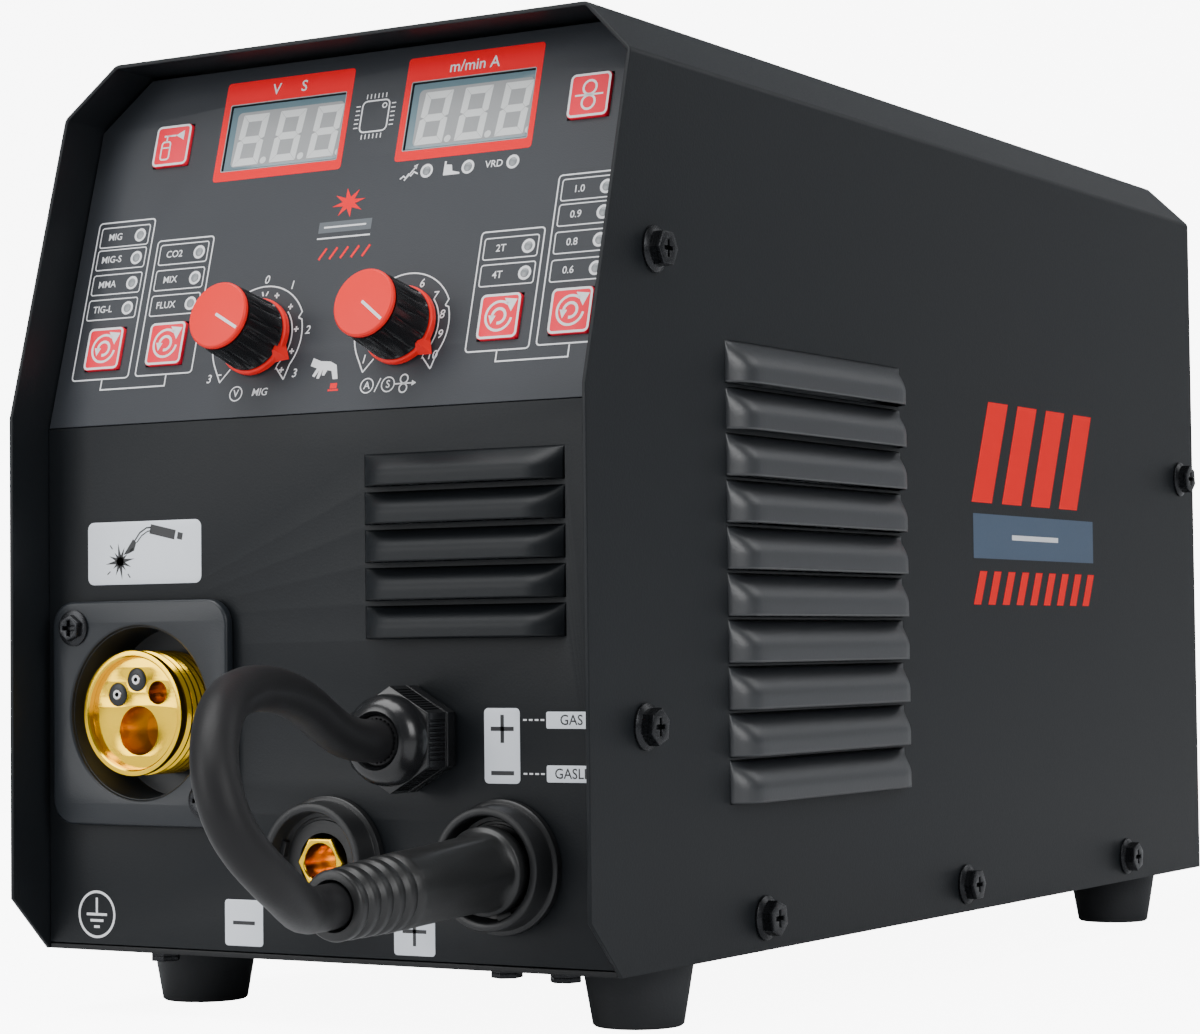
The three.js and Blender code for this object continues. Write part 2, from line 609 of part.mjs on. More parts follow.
function sideDoor() {
  const [y0, y1] = [DOOR_Y[0] + DOOR_GAP, DOOR_Y[1] - DOOR_GAP];
  const [z0, z1] = [DOOR_Z[0] + DOOR_GAP, DOOR_Z[1] - DOOR_GAP];
  const outer = -WIDTH / 2;
  const tray = block(outer, outer + DOOR_LIP, y0, y1, z0, z1);
  const hollow = block(outer + COVER_SHEET, outer + DOOR_LIP + 1, y0 + COVER_SHEET, y1 - COVER_SHEET,
    z0 + COVER_SHEET, z1 - COVER_SHEET);
  const latchHole = moved(ontoX(rod(0, 0, LATCH_SPINDLE_RADIUS + SEAT_GAP, -3, 3)), outer, latchY(), LATCH_Z);
  const camSlot = block(outer + COVER_SHEET, outer + COVER_SHEET + CAM_THICKNESS + 3 * SEAT_GAP,
    y0 - 1, y0 + COVER_SHEET + 1, LATCH_Z - CAM_HALF_WIDTH - 1, LATCH_Z + CAM_LENGTH - 1);
  const parts = [cut(tray, hollow, latchHole, camSlot)];
  const pinHole = HINGE_RADIUS / 2 + RUNNING_GAP;
  for (const height of Object.values(HINGE_HEIGHTS)) {
    const [from, to] = [height + SEAT_GAP, height + HINGE_LENGTH / 2];
    const leaf = block(outer - COVER_SHEET, outer + 0.2, y1 - HINGE_LEAF, PIVOT_Y - 1, from, to);
    const web = block(PIVOT_X, outer - 0.4, PIVOT_Y - 3, PIVOT_Y - 1, from, to);
    const barrel = rod(PIVOT_X, PIVOT_Y, HINGE_RADIUS, from, to, 12);
    parts.push(cut(join(leaf, web, barrel), rod(PIVOT_X, PIVOT_Y, pinHole, from - 1, to + 1, 12)));
  }
  return join(...parts);
}

function latchY() {
  return DOOR_Y[0] + LATCH_Y_INSET;
}

// Quarter-turn latch built along X: knob outside, spindle through the door, cam inside.
function doorLatch() {
  const spindle = rod(0, 0, LATCH_SPINDLE_RADIUS, -LATCH_KNOB_REACH, COVER_SHEET + 3, 16);
  const knob = rod(0, 0, LATCH_KNOB_RADIUS, -LATCH_KNOB_REACH, -SEAT_GAP, 24);
  const grip = block(-1.6, 1.6, -LATCH_KNOB_RADIUS + 1, LATCH_KNOB_RADIUS - 1, -LATCH_KNOB_REACH - 4, -1);
  const camBack = COVER_SHEET + SEAT_GAP;
  const cam = block(-CAM_HALF_WIDTH, CAM_HALF_WIDTH, -CAM_HALF_WIDTH, CAM_LENGTH, camBack, camBack + CAM_THICKNESS);
  return ontoX(join(spindle, knob, grip, cam));
}

addPiece('side_door', sideDoor(), FINISH.blackSteel);
addPiece('door_latch', doorLatch(), FINISH.blackPlastic, welder, [-WIDTH / 2, latchY(), LATCH_Z]);

// ---------------------------------------------------------------- top handle, folded flat

const HANDLE_Z = HEIGHT + HANDLE_RISE;
const HANDLE_REAR_Y = HANDLE_FRONT_Y + HANDLE_SPAN;

// A bracket standing on the cover with a blind bore for the end of the bail; inward is +1 or -1.
function handleBracket(inward) {
  const [width, depth] = HANDLE_BLOCK;
  const top = HANDLE_RISE + HANDLE_BAR_RADIUS + 2.5;
  const profile = [[-width / 2, SEAT_GAP], [width / 2, SEAT_GAP], [width / 2, 4], [7, top], [-7, top], [-width / 2, 4]];
  const bore = moved(ontoY(rod(0, 0, HANDLE_BAR_RADIUS + RUNNING_GAP, -8, 8)), 0, inward * (depth / 2), HANDLE_RISE);
  return cut(alongY(profile, -depth / 2, depth / 2), bore);
}

// Round bar from one bracket out to the grip and back to the other bracket.
function handleBail() {
  const pinDepth = 6;
  const corner = 7;
  const [y0, y1] = [HANDLE_FRONT_Y - pinDepth, HANDLE_REAR_Y + pinDepth];
  const armY0 = HANDLE_FRONT_Y + HANDLE_BAR_RADIUS + 4;
  const armY1 = HANDLE_REAR_Y - HANDLE_BAR_RADIUS - 4;
  const far = HANDLE_X - HANDLE_REACH;
  const stops = [
    [HANDLE_X, y0], [HANDLE_X, armY0], [far, armY0], [far, armY1], [HANDLE_X, armY1], [HANDLE_X, y1],
  ].map(([x, y]) => new THREE.Vector3(x, y, HANDLE_Z));
  const path = new THREE.CurvePath();
  let start = stops[0];
  for (let i = 1; i < stops.length - 1; i += 1) {
    const before = stops[i - 1].clone().sub(stops[i]).setLength(corner).add(stops[i]);
    const after = stops[i + 1].clone().sub(stops[i]).setLength(corner).add(stops[i]);
    path.add(new THREE.LineCurve3(start, before));
    path.add(new THREE.QuadraticBezierCurve3(before, stops[i], after));
    start = after;
  }
  path.add(new THREE.LineCurve3(start, stops[stops.length - 1]));
  const section = new THREE.Shape(circlePath(0, 0, HANDLE_BAR_RADIUS, 8).getPoints());
  return new THREE.ExtrudeGeometry(section, { steps: HANDLE_STEPS, extrudePath: path, bevelEnabled: false });
}

function handleGrip() {
  const length = HANDLE_SPAN - 46;
  const sleeve = new THREE.Shape(circlePath(0, 0, GRIP_RADIUS, 16).getPoints());
  sleeve.holes.push(circlePath(0, 0, HANDLE_BAR_RADIUS + RUNNING_GAP, 16));
  return ontoY(slab(sleeve, -length / 2, length / 2));
}

const [, BRACKET_DEPTH] = HANDLE_BLOCK;
addPiece('handle_bracket_front', handleBracket(1), FINISH.blackPlastic, welder,
  [HANDLE_X, HANDLE_FRONT_Y - BRACKET_DEPTH / 2, HEIGHT]);
addPiece('handle_bracket_rear', handleBracket(-1), FINISH.blackPlastic, welder,
  [HANDLE_X, HANDLE_REAR_Y + BRACKET_DEPTH / 2, HEIGHT]);
addPiece('handle_bail', handleBail(), FINISH.blackSteel);
addPiece('handle_grip', handleGrip(), FINISH.rubber, welder,
  [HANDLE_X - HANDLE_REACH, HANDLE_FRONT_Y + HANDLE_SPAN / 2, HANDLE_Z]);

// ---------------------------------------------------------------- knobs and potentiometers

// Fluted black body with a blind bore for the shaft.
function knobBody() {
  const bottom = POINTER_RING_TOP + SEAT_GAP;
  const top = KNOB_HEIGHT - KNOB_CAP - SEAT_GAP;
  const bore = SHAFT_RADIUS + SEAT_GAP;
  const body = turned([
    [0, SHAFT_TOP + 1], [bore, SHAFT_TOP + 1], [bore, bottom], [KNOB_BASE_RADIUS, bottom],
    [KNOB_TOP_RADIUS, top], [0, top],
  ]);
  return body;
}

function knobCap() {
  const bottom = KNOB_HEIGHT - KNOB_CAP;
  return turned([[0, bottom], [KNOB_TOP_RADIUS - 0.2, bottom], [KNOB_TOP_RADIUS - 0.2, KNOB_HEIGHT - 0.5],
    [KNOB_TOP_RADIUS - 0.8, KNOB_HEIGHT], [0, KNOB_HEIGHT]]);
}

// Red ring under the body with one triangular pointer, turned to its set place.
function pointerRing(turn) {
  const ring = slab(circlePathShape(POINTER_RING_RADIUS, 24), POINTER_RING_BOTTOM, POINTER_RING_TOP);
  const wedge = slab(outline([[4, -3.4], [POINTER_TIP, 0], [4, 3.4]]), POINTER_RING_BOTTOM, POINTER_RING_TOP);
  const hole = rod(0, 0, BUSHING_RADIUS + 2, -1, 5);
  return cut(join(ring, wedge), hole).rotateZ(turn);
}

function circlePathShape(radius, sides) {
  return new THREE.Shape(circlePath(0, 0, radius, sides).getPoints());
}

// Potentiometer: can behind the sheet, threaded bushing through it, shaft into the knob.
function potentiometer() {
  const canFront = FACE_SHEET_BACK - SEAT_GAP;
  const bushingTop = 0.4;
  return turned([
    [0, POT_BACK], [POT_RADIUS, POT_BACK], [POT_RADIUS, canFront], [BUSHING_RADIUS, canFront],
    [BUSHING_RADIUS, bushingTop], [SHAFT_RADIUS, bushingTop], [SHAFT_RADIUS, SHAFT_TOP], [0, SHAFT_TOP],
  ], 16);
}

for (const [side, [x, s]] of Object.entries(KNOB_PLACES)) {
  const place = [x, s, 0];
  addPiece(`knob_${side}_body`, knobBody(), FINISH.blackPlastic, controlFace, place);
  addPiece(`knob_${side}_cap`, knobCap(), FINISH.red, controlFace, place);
  addPiece(`knob_${side}_pointer`, pointerRing(POINTER_TURN[side]), FINISH.red, controlFace, place);
  addPiece(`potentiometer_${side}`, potentiometer(), FINISH.steel, controlFace, place);
}

// ---------------------------------------------------------------- buttons, displays, control board

const STEM_END = BOARD_FRONT + 0.8 + BUTTON_TRAVEL + SEAT_GAP;

function pushButton() {
  const half = BUTTON_SIZE / 2;
  const cap = block(-half, half, -half, half, -BUTTON_SKIRT, BUTTON_STAND);
  const stem = block(-2, 2, -2, 2, STEM_END, -BUTTON_SKIRT + 0.2);
  return join(cap, stem);
}

function displayModule() {
  const [w, h] = DISPLAY_WINDOW.map((size) => size / 2 - SEAT_GAP);
  return block(-w, w, -h, h, BOARD_FRONT + SEAT_GAP, -DISPLAY_SINK);
}

// Control board with a switch under each button, standoffs and clearance for the potentiometers.
function controlBoard() {
  const [s0, s1] = BOARD_SLOPE;
  const plate = outline([[-BOARD_HALF, s0], [BOARD_HALF, s0], [BOARD_HALF, s1 - 12], [BOARD_HALF - 12, s1],
    [-BOARD_HALF + 12, s1], [-BOARD_HALF, s1 - 12]]);
  for (const [x, s] of Object.values(KNOB_PLACES)) {
    plate.holes.push(circlePath(x, s, POT_RADIUS + 0.8, 16));
  }
  const parts = [slab(plate, BOARD_FRONT - BOARD_THICKNESS, BOARD_FRONT)];
  const half = TACT_SWITCH / 2;
  for (const [x, s] of Object.values(BUTTON_PLACES)) {
    parts.push(block(x - half, x + half, s - half, s + half, BOARD_FRONT - 0.2, BOARD_FRONT + 0.8));
  }
  const top = FACE_SHEET_BACK - SEAT_GAP;
  for (const x of [-BOARD_HALF + 18, 0, BOARD_HALF - 18]) {
    for (const s of [s0 + 3, s1 - 3]) {
      parts.push(rod(x, s, STANDOFF_RADIUS, BOARD_FRONT - 0.2, top, 8));
    }
  }
  return join(...parts);
}

for (const [name, [x, s]] of Object.entries(BUTTON_PLACES)) {
  addPiece(`button_${name}`, pushButton(), FINISH.red, controlFace, [x, s, 0]);
}
for (const [side, [x, s]] of Object.entries(DISPLAY_PLACES)) {
  addPiece(`display_${side}`, displayModule(), FINISH.displayGrey, controlFace, [x, s, 0]);
}
addPiece('control_board', controlBoard(), FINISH.boardGreen, controlFace);

// ---------------------------------------------------------------- torch connector

// Square plastic plate with a round cup that reaches back through the front panel.
function euroFlange() {
  const plate = slab(roundedRectangle(0, 0, ...EURO_PLATE, EURO_CORNER), SEAT_GAP, EURO_PLATE_FRONT);
  const cup = rod(0, 0, EURO_CUP_RADIUS + EURO_CUP_WALL, -EURO_CUP_DEPTH - EURO_CUP_WALL, 1, 28);
  const well = rod(0, 0, EURO_CUP_RADIUS, -EURO_CUP_DEPTH, 6, 28);
  const tailHole = rod(0, 0, EURO_TAIL_RADIUS + SEAT_GAP, -EURO_CUP_DEPTH - 6, 0, 24);
  return cut(join(plate, cup), well, tailHole);
}

// Brass body: head turned down to its thread root between two lands, a sunk face with four
// holes, and a plain tail.
function euroBody() {
  const base = -EURO_CUP_DEPTH + SEAT_GAP;
  const face = EURO_BRASS_FRONT - EURO_FACE_SINK;
  const root = EURO_BRASS_RADIUS - EURO_THREAD_DEPTH;
  const rim = EURO_BRASS_RADIUS - EURO_RIM;
  const profile = [[0, EURO_TAIL_END], [EURO_TAIL_RADIUS, EURO_TAIL_END], [EURO_TAIL_RADIUS, base],
    [EURO_BRASS_RADIUS, base]];
  profile.push([EURO_BRASS_RADIUS, base + 2], [root, base + 3], [root, face - 3], [EURO_BRASS_RADIUS, face - 2]);
  profile.push([EURO_BRASS_RADIUS, EURO_BRASS_FRONT], [rim, EURO_BRASS_FRONT], [rim, face], [0, face]);
  const drills = EURO_HOLES.map(({ name, at, radius }) => {
    const depth = name === 'wire' ? EURO_WIRE_DEPTH : EURO_HOLE_DEPTH;
    return rod(...at, radius, face - depth, face + 1);
  });
  return cut(turned(profile, 28), ...drills);
}

const euro = new THREE.Group();
euro.position.set(...EURO_PLACE, 0);
frontFace.add(euro);
addPiece('euro_flange', euroFlange(), FINISH.blackPlastic, euro);
addPiece('euro_body', euroBody(), FINISH.brass, euro);

// ---------------------------------------------------------------- cable gland

const CABLE_BORE = CABLE_DIAMETER / 2 + SEAT_GAP + 0.2;

// Hexagon with corners up and down, a thread through the panel and a bore for the cable.
function glandBody() {
  const hex = hexagon(0, 0, GLAND_FLATS, SEAT_GAP, GLAND_HEX_TOP);
  const thread = rod(0, 0, GLAND_THREAD_RADIUS, GLAND_BACK, 1, 20);
  const bore = rod(0, 0, CABLE_BORE, GLAND_BACK - 1, GLAND_HEX_TOP + 1, 20);
  return cut(join(hex, thread), bore);
}

function glandNut() {
  const bottom = GLAND_HEX_TOP + SEAT_GAP;
  const flat = GLAND_FLATS / 2;
  const hex = hexagon(0, 0, GLAND_FLATS, bottom, GLAND_NUT_TOP);
  const dome = turned([
    [0, GLAND_NUT_TOP - 1], [flat - 0.3, GLAND_NUT_TOP - 1], [flat - 0.3, GLAND_NUT_TOP + 1],
    [flat - 0.8, GLAND_NUT_TOP + 3.4], [flat - 3, GLAND_DOME_TOP - 0.8], [flat - 4.4, GLAND_DOME_TOP],
    [0, GLAND_DOME_TOP],
  ]);
  return cut(join(hex, dome), rod(0, 0, CABLE_BORE, bottom - 1, GLAND_DOME_TOP + 1, 20));
}

addPiece('gland_body', glandBody(), FINISH.blackPlastic, frontFace, [...GLAND_PLACE, 0]);
addPiece('gland_nut', glandNut(), FINISH.blackPlastic, frontFace, [...GLAND_PLACE, 0]);

// ---------------------------------------------------------------- output sockets

function socketHousing() {
  const insertHole = INSERT_CORNER_RADIUS + SEAT_GAP;
  return turned([
    [insertHole, SOCKET_BACK], [SOCKET_NECK_RADIUS, SOCKET_BACK], [SOCKET_NECK_RADIUS, SEAT_GAP],
    [SOCKET_FLANGE_RADIUS, SEAT_GAP], [SOCKET_FLANGE_RADIUS, SOCKET_FLANGE_TOP],
    [SOCKET_RING_RADIUS, SOCKET_FLANGE_TOP], [SOCKET_RING_RADIUS, SOCKET_RING_TOP],
    [SOCKET_WELL_RADIUS, SOCKET_RING_TOP], [SOCKET_WELL_RADIUS, SOCKET_WELL_FLOOR],
    [insertHole, SOCKET_WELL_FLOOR], [insertHole, SOCKET_BACK],
  ], 20);
}

// Hexagonal brass insert with a blind bore in front and a threaded stud behind.
function socketInsert() {
  const flats = INSERT_CORNER_RADIUS * Math.sqrt(3);
  const hex = hexagon(0, 0, flats, SOCKET_BACK - 3, INSERT_FRONT);
  const stud = rod(0, 0, STUD_RADIUS, STUD_END, SOCKET_BACK - 2, 12);
  return cut(join(hex, stud), rod(0, 0, INSERT_BORE, INSERT_DEPTH, INSERT_FRONT + 1, 20));
}

for (const [pole, [x, y]] of Object.entries(SOCKET_PLACES)) {
  addPiece(`socket_${pole}_housing`, socketHousing(), FINISH.blackPlastic, frontFace, [x, y, 0]);
  addPiece(`socket_${pole}_insert`, socketInsert(), FINISH.brass, frontFace, [x, y, 0]);
}

// ---------------------------------------------------------------- plug and polarity lead

// Rubber sleeve: collar inside the socket ring, tapering body, ribbed end with the cable bore.
function plugSleeve() {
  const start = INSERT_FRONT + 1;
  const collarTop = SOCKET_RING_TOP + 1;
  const profile = [[PIN_RADIUS + SEAT_GAP, start], [PLUG_COLLAR_RADIUS, start], [PLUG_COLLAR_RADIUS, collarTop],
    [PLUG_BASE_RADIUS, collarTop + 1], [PLUG_WAIST_RADIUS, PLUG_RIB_START]];
  const ribPitch = (PLUG_LENGTH - PLUG_RIB_START) / PLUG_RIBS;
  for (let i = 0; i < PLUG_RIBS; i += 1) {
    const z = PLUG_RIB_START + i * ribPitch;
    const radius = THREE.MathUtils.lerp(PLUG_WAIST_RADIUS, PLUG_END_RADIUS, i / (PLUG_RIBS - 1));
    profile.push([radius - 0.9, z + 0.8], [radius, z + 1.8], [radius, z + ribPitch - 0.4]);
  }
  profile.push([CABLE_BORE, PLUG_LENGTH - 0.4], [CABLE_BORE, PLUG_LENGTH - PLUG_BORE_DEPTH]);
  profile.push([PIN_RADIUS + SEAT_GAP, PLUG_LENGTH - PLUG_BORE_DEPTH], [PIN_RADIUS + SEAT_GAP, start]);
  return turned(profile, 20);
}

// Brass pin from inside the socket insert to just short of the cable's end.
function plugPin() {
  return rod(0, 0, PIN_RADIUS, PIN_FRONT, PLUG_LENGTH - PLUG_BORE_DEPTH - 1, 16);
}

const plug = new THREE.Group();
plug.position.set(...SOCKET_PLACES.plus, 0);
plug.rotation.x = PLUG_DROOP;
frontFace.add(plug);
addPiece('plug_sleeve', plugSleeve(), FINISH.rubber, plug);
addPiece('plug_pin', plugPin(), FINISH.brass, plug);

// Route of the lead in the case's own coordinates, from inside the gland to inside the plug.
const LEAD_ROUTE = [
  [33, 2.8, 59.4], [33, -5.2, 59.4], [33.2, -13.5, 60], [34.3, -22.5, 62], [36.3, -32.5, 65.7],
  [39, -43.5, 69.8], [42, -55.5, 72.6], [45.5, -68, 73.8], [50, -81.5, 73.4], [54.8, -94, 70.8],
  [59.2, -103, 65.6], [62.6, -108.3, 58.6], [65.2, -110, 51.4], [67.2, -109, 44.8], [68.7, -105.3, 38.8],
  [69.2, -99, 33.4], [68.2, -91, 28.8], [65.4, -82.5, 25.2], [61.8, -74.3, 23], [59.6, -66.8, 22.4],
  [59.2, -59, 22.7], [59.2, -51, 23.1],
];

function polarityLead() {
  const path = new THREE.CatmullRomCurve3(LEAD_ROUTE.map((point) => new THREE.Vector3(...point)));
  const section = circlePathShape(CABLE_DIAMETER / 2, CABLE_SIDES);
  return new THREE.ExtrudeGeometry(section, { steps: CABLE_STEPS, extrudePath: path, bevelEnabled: false });
}

addPiece('polarity_lead', polarityLead(), FINISH.rubber);

// ---------------------------------------------------------------- rear fittings

function rockerFrame() {
  const [w, h] = SWITCH_WINDOW;
  const bezel = block(-w / 2 - 2, w / 2 + 2, -h / 2 - 2, h / 2 + 2, SEAT_GAP, 2.2);
  const box = block(-w / 2 + SEAT_GAP, w / 2 - SEAT_GAP, -h / 2 + SEAT_GAP, h / 2 - SEAT_GAP, -22, 1);
  const well = block(-w / 2 + 2.5, w / 2 - 2.5, -h / 2 + 2.5, h / 2 - 2.5, -9, 6);
  return cut(join(bezel, box), well);
}

// Rocker built about its pivot, which runs along its local x.
function switchRocker() {
  const half = SWITCH_WINDOW[0] / 2 - 3.2;
  const reach = SWITCH_WINDOW[1] / 2 - 3.4;
  const paddle = alongX([[-reach, 3.6], [reach, 6.2], [reach - 1, 0], [2, -4], [-2, -4], [-reach + 1, -1]], -half, half);
  return paddle;
}

function rearGland() {
  const hex = hexagon(0, 0, GLAND_FLATS, SEAT_GAP, GLAND_HEX_TOP);
  const thread = rod(0, 0, GLAND_THREAD_RADIUS, GLAND_BACK, 1, 20);
  const dome = turned([[0, 4], [GLAND_FLATS / 2 - 0.5, 4], [GLAND_FLATS / 2 - 1, 14], [9, 19], [0, 19]], 20);
  return cut(join(hex, thread, dome), rod(0, 0, 5, GLAND_BACK - 1, 30, 16));
}

// Gas valve body on the rear panel with its hose nipple outside.
function gasValve() {
  const body = block(-14, 14, -12, 12, -34, -PANEL_SHEET - SEAT_GAP);
  const coil = rod(0, 0, 11, -56, -33, 20);
  const neck = rod(0, 0, 6, -4, 4, 12);
  const nipple = turned([[0, 3], [4.5, 3], [4.5, 8], [5.2, 9], [3.8, 12.5], [5.2, 13.5], [3.8, 17], [5, 18],
    [3.4, INLET_REACH], [0, INLET_REACH]], 12);
  return cut(join(body, coil, neck, nipple), rod(0, 0, 2, 4, INLET_REACH + 1, 10));
}

const rearPlace = ([x, z]) => [x, -z, 0];
addPiece('power_switch_frame', rockerFrame(), FINISH.blackPlastic, rearFace, rearPlace(SWITCH_PLACE));
addPiece('power_switch_rocker', switchRocker(), FINISH.red, rearFace, rearPlace(SWITCH_PLACE));
addPiece('mains_gland', rearGland(), FINISH.blackPlastic, rearFace, rearPlace(MAINS_GLAND_PLACE));
addPiece('gas_valve', gasValve(), FINISH.brass, rearFace, rearPlace(GAS_INLET_PLACE));

// ---------------------------------------------------------------- fan

// Square frame behind the rear panel with a hub on four arms and an axle.
function fanFrame() {
  const half = FAN_SIZE / 2;
  const front = -PANEL_SHEET - SEAT_GAP;
  const ring = half - 3;
  const frame = cut(block(-half, half, -half, half, front - FAN_DEPTH, front), rod(0, 0, ring, -60, 10, 32));
  const arms = [block(-half + 1, half - 1, -3, 3, front - FAN_DEPTH, front - FAN_DEPTH + 3),
    block(-3, 3, -half + 1, half - 1, front - FAN_DEPTH, front - FAN_DEPTH + 3)];
  const hub = rod(0, 0, 15, front - FAN_DEPTH, front - FAN_DEPTH + 3, 20);
  const axle = rod(0, 0, 2, front - FAN_DEPTH + 1, front - 6, 12);
  return join(frame, ...arms, hub, axle);
}

function fanRotor() {
  const front = -PANEL_SHEET - SEAT_GAP - 2;
  const back = -PANEL_SHEET - SEAT_GAP - FAN_DEPTH + 3 + SEAT_GAP;
  const hub = cut(rod(0, 0, 17, back, front, 20), rod(0, 0, 2 + SEAT_GAP, back - 1, front - 3, 12));
  const blades = [];
  const bladeCount = 7;
  for (let i = 0; i < bladeCount; i += 1) {
    const blade = block(14, FAN_SIZE / 2 - 5, -1, 1, back + 1, front - 1);
    const twist = new THREE.Matrix4().makeRotationX(THREE.MathUtils.degToRad(38));
    const middle = (back + front) / 2;
    blade.translate(0, 0, -middle).applyMatrix4(twist).translate(0, 0, middle);
    blades.push(blade.rotateZ((2 * Math.PI * i) / bladeCount));
  }
  return join(hub, ...blades);
}

addPiece('fan_frame', fanFrame(), FINISH.blackPlastic, rearFace, rearPlace(FAN_PLACE));
addPiece('fan_rotor', fanRotor(), FINISH.blackPlastic, rearFace, rearPlace(FAN_PLACE));

// ---------------------------------------------------------------- wire feed

function wireHeight() {
  return EURO_PLACE[1] + EURO_HOLES[0].at[1];
}

const WIRE_X = EURO_PLACE[0] + EURO_HOLES[0].at[0];
const DRIVE_Z = wireHeight() - WIRE_RADIUS - DRIVE_ROLL_RADIUS;
const PRESSURE_Z = wireHeight() + WIRE_RADIUS + PRESSURE_ROLL_RADIUS;
const ARM_PIVOT = [DRIVE_Y - 28, PRESSURE_Z];
const FEED_PLATE_THICKNESS = 5;

// Plate across the feeder with the pressure arm's pivot and four posts to the divider.
function feedPlate() {
  const [x0, x1] = [FEED_PLATE_X, FEED_PLATE_X + FEED_PLATE_THICKNESS];
  const plate = block(x0, x1, DRIVE_Y - 40, DRIVE_Y + 40, DRIVE_Z - 30, PRESSURE_Z + 16);
  const posts = [];
  for (const y of [DRIVE_Y - 34, DRIVE_Y + 34]) {
    for (const z of [DRIVE_Z - 24, PRESSURE_Z + 10]) {
      posts.push(moved(ontoX(rod(0, 0, 4, x1 - 1, DIVIDER_X - SEAT_GAP, 10)), 0, y, z));
    }
  }
  const pivot = moved(ontoX(rod(0, 0, FEED_AXLE_RADIUS, WIRE_X - ROLL_WIDTH, x0 + 1, 12)), 0, ...ARM_PIVOT);
  const shaftHole = moved(ontoX(rod(0, 0, 4 + SEAT_GAP, x0 - 1, x1 + 1, 16)), 0, DRIVE_Y, DRIVE_Z);
  return cut(join(plate, ...posts, pivot), shaftHole);
}

function feedMotor() {
  const front = FEED_PLATE_X + FEED_PLATE_THICKNESS + SEAT_GAP;
  const can = rod(0, 0, MOTOR_RADIUS, front, front + 62, 24);
  const shaft = rod(0, 0, 4, WIRE_X - ROLL_WIDTH / 2 - 3, front + 1, 12);
  return ontoX(join(can, shaft));
}

function feedRoll(radius, bore) {
  const half = ROLL_WIDTH / 2;
  const groove = 0.8;
  return ontoX(turned([[bore, -half], [radius, -half], [radius, -groove], [radius - groove, 0],
    [radius, groove], [radius, half], [bore, half], [bore, -half]]));
}

// Arm from the pivot over the pressure roll, with the roll's stub axle.
function pressureArm() {
  const reach = DRIVE_Y - ARM_PIVOT[0];
  const x1 = FEED_PLATE_X - 2;
  const bar = block(x1 - 7, x1, -7, reach + 16, -6, 6);
  const hub = ontoX(rod(0, 0, 8, x1 - 7, x1, 16));
  const bore = ontoX(rod(0, 0, FEED_AXLE_RADIUS + RUNNING_GAP, x1 - 20, x1 + 5, 12));
  const axle = moved(ontoX(rod(0, 0, FEED_AXLE_RADIUS, WIRE_X - ROLL_WIDTH / 2 - 2, x1 - 1, 12)), 0, reach, 0);
  return cut(join(bar, hub, axle), bore);
}

addPiece('feed_plate', feedPlate(), FINISH.aluminium);
addPiece('feed_motor', feedMotor(), FINISH.steel, welder, [0, DRIVE_Y, DRIVE_Z]);
addPiece('drive_roll', feedRoll(DRIVE_ROLL_RADIUS, 4 + SEAT_GAP), FINISH.steel, welder, [WIRE_X, DRIVE_Y, DRIVE_Z]);
addPiece('pressure_roll', feedRoll(PRESSURE_ROLL_RADIUS, FEED_AXLE_RADIUS + SEAT_GAP), FINISH.steel, welder,
  [WIRE_X, DRIVE_Y, PRESSURE_Z]);
addPiece('pressure_arm', pressureArm(), FINISH.blackPlastic, welder, [0, ...ARM_PIVOT]);

// Spindle bolted to the divider, and the spool that turns on it.
function spoolSpindle() {
  const wall = DIVIDER_X - SEAT_GAP;
  const flange = rod(0, 0, 34, wall - 3, wall, 24);
  const barrel = rod(0, 0, SPOOL_BORE - 0.6, wall - 3 - SPOOL_WIDTH - 8, wall - 2, 24);
  const hollow = rod(0, 0, SPOOL_BORE - 5, wall - 100, wall - 8, 24);
  return ontoX(cut(join(flange, barrel), hollow));
}

function wireSpool() {
  const inner = DIVIDER_X - SEAT_GAP - 3 - SEAT_GAP;
  const outer = inner - SPOOL_WIDTH;
  const cheek = 3;
  return ontoX(turned([
    [SPOOL_BORE, outer], [SPOOL_RADIUS, outer], [SPOOL_RADIUS, outer + cheek],
    [WIRE_PACK_RADIUS, outer + cheek], [WIRE_PACK_RADIUS, inner - cheek], [SPOOL_RADIUS, inner - cheek],
    [SPOOL_RADIUS, inner], [SPOOL_BORE, inner], [SPOOL_BORE, outer],
  ], 32));
}

addPiece('spool_spindle', spoolSpindle(), FINISH.blackPlastic, welder, [0, SPOOL_Y, SPOOL_Z]);
addPiece('wire_spool', wireSpool(), FINISH.spoolPlastic, welder, [0, SPOOL_Y, SPOOL_Z]);

// ---------------------------------------------------------------- power electronics

const POWER_X = [DIVIDER_X + PANEL_SHEET + 16, HALF_INSIDE - 12];
const POWER_Y = [170, 372];
const POWER_BOARD_Z = 62;

// Board on four posts with three capacitors standing on it.
function powerBoard() {
  const [x0, x1] = POWER_X;
  const [y0, y1] = POWER_Y;
  const parts = [block(x0, x1, y0, y1, POWER_BOARD_Z, POWER_BOARD_Z + BOARD_THICKNESS)];
  for (const x of [x0 + 5, x1 - 5]) {
    for (const y of [y0 + 5, y1 - 5]) {
      parts.push(rod(x, y, 3, BASE_TOP + SEAT_GAP, POWER_BOARD_Z + 0.5, 8));
    }
  }
  for (let i = 0; i < 3; i += 1) {
    parts.push(rod(x0 + 20, y0 + 34 + 42 * i, 15, POWER_BOARD_Z + 1, POWER_BOARD_Z + 42, 16));
  }
  return join(...parts);
}

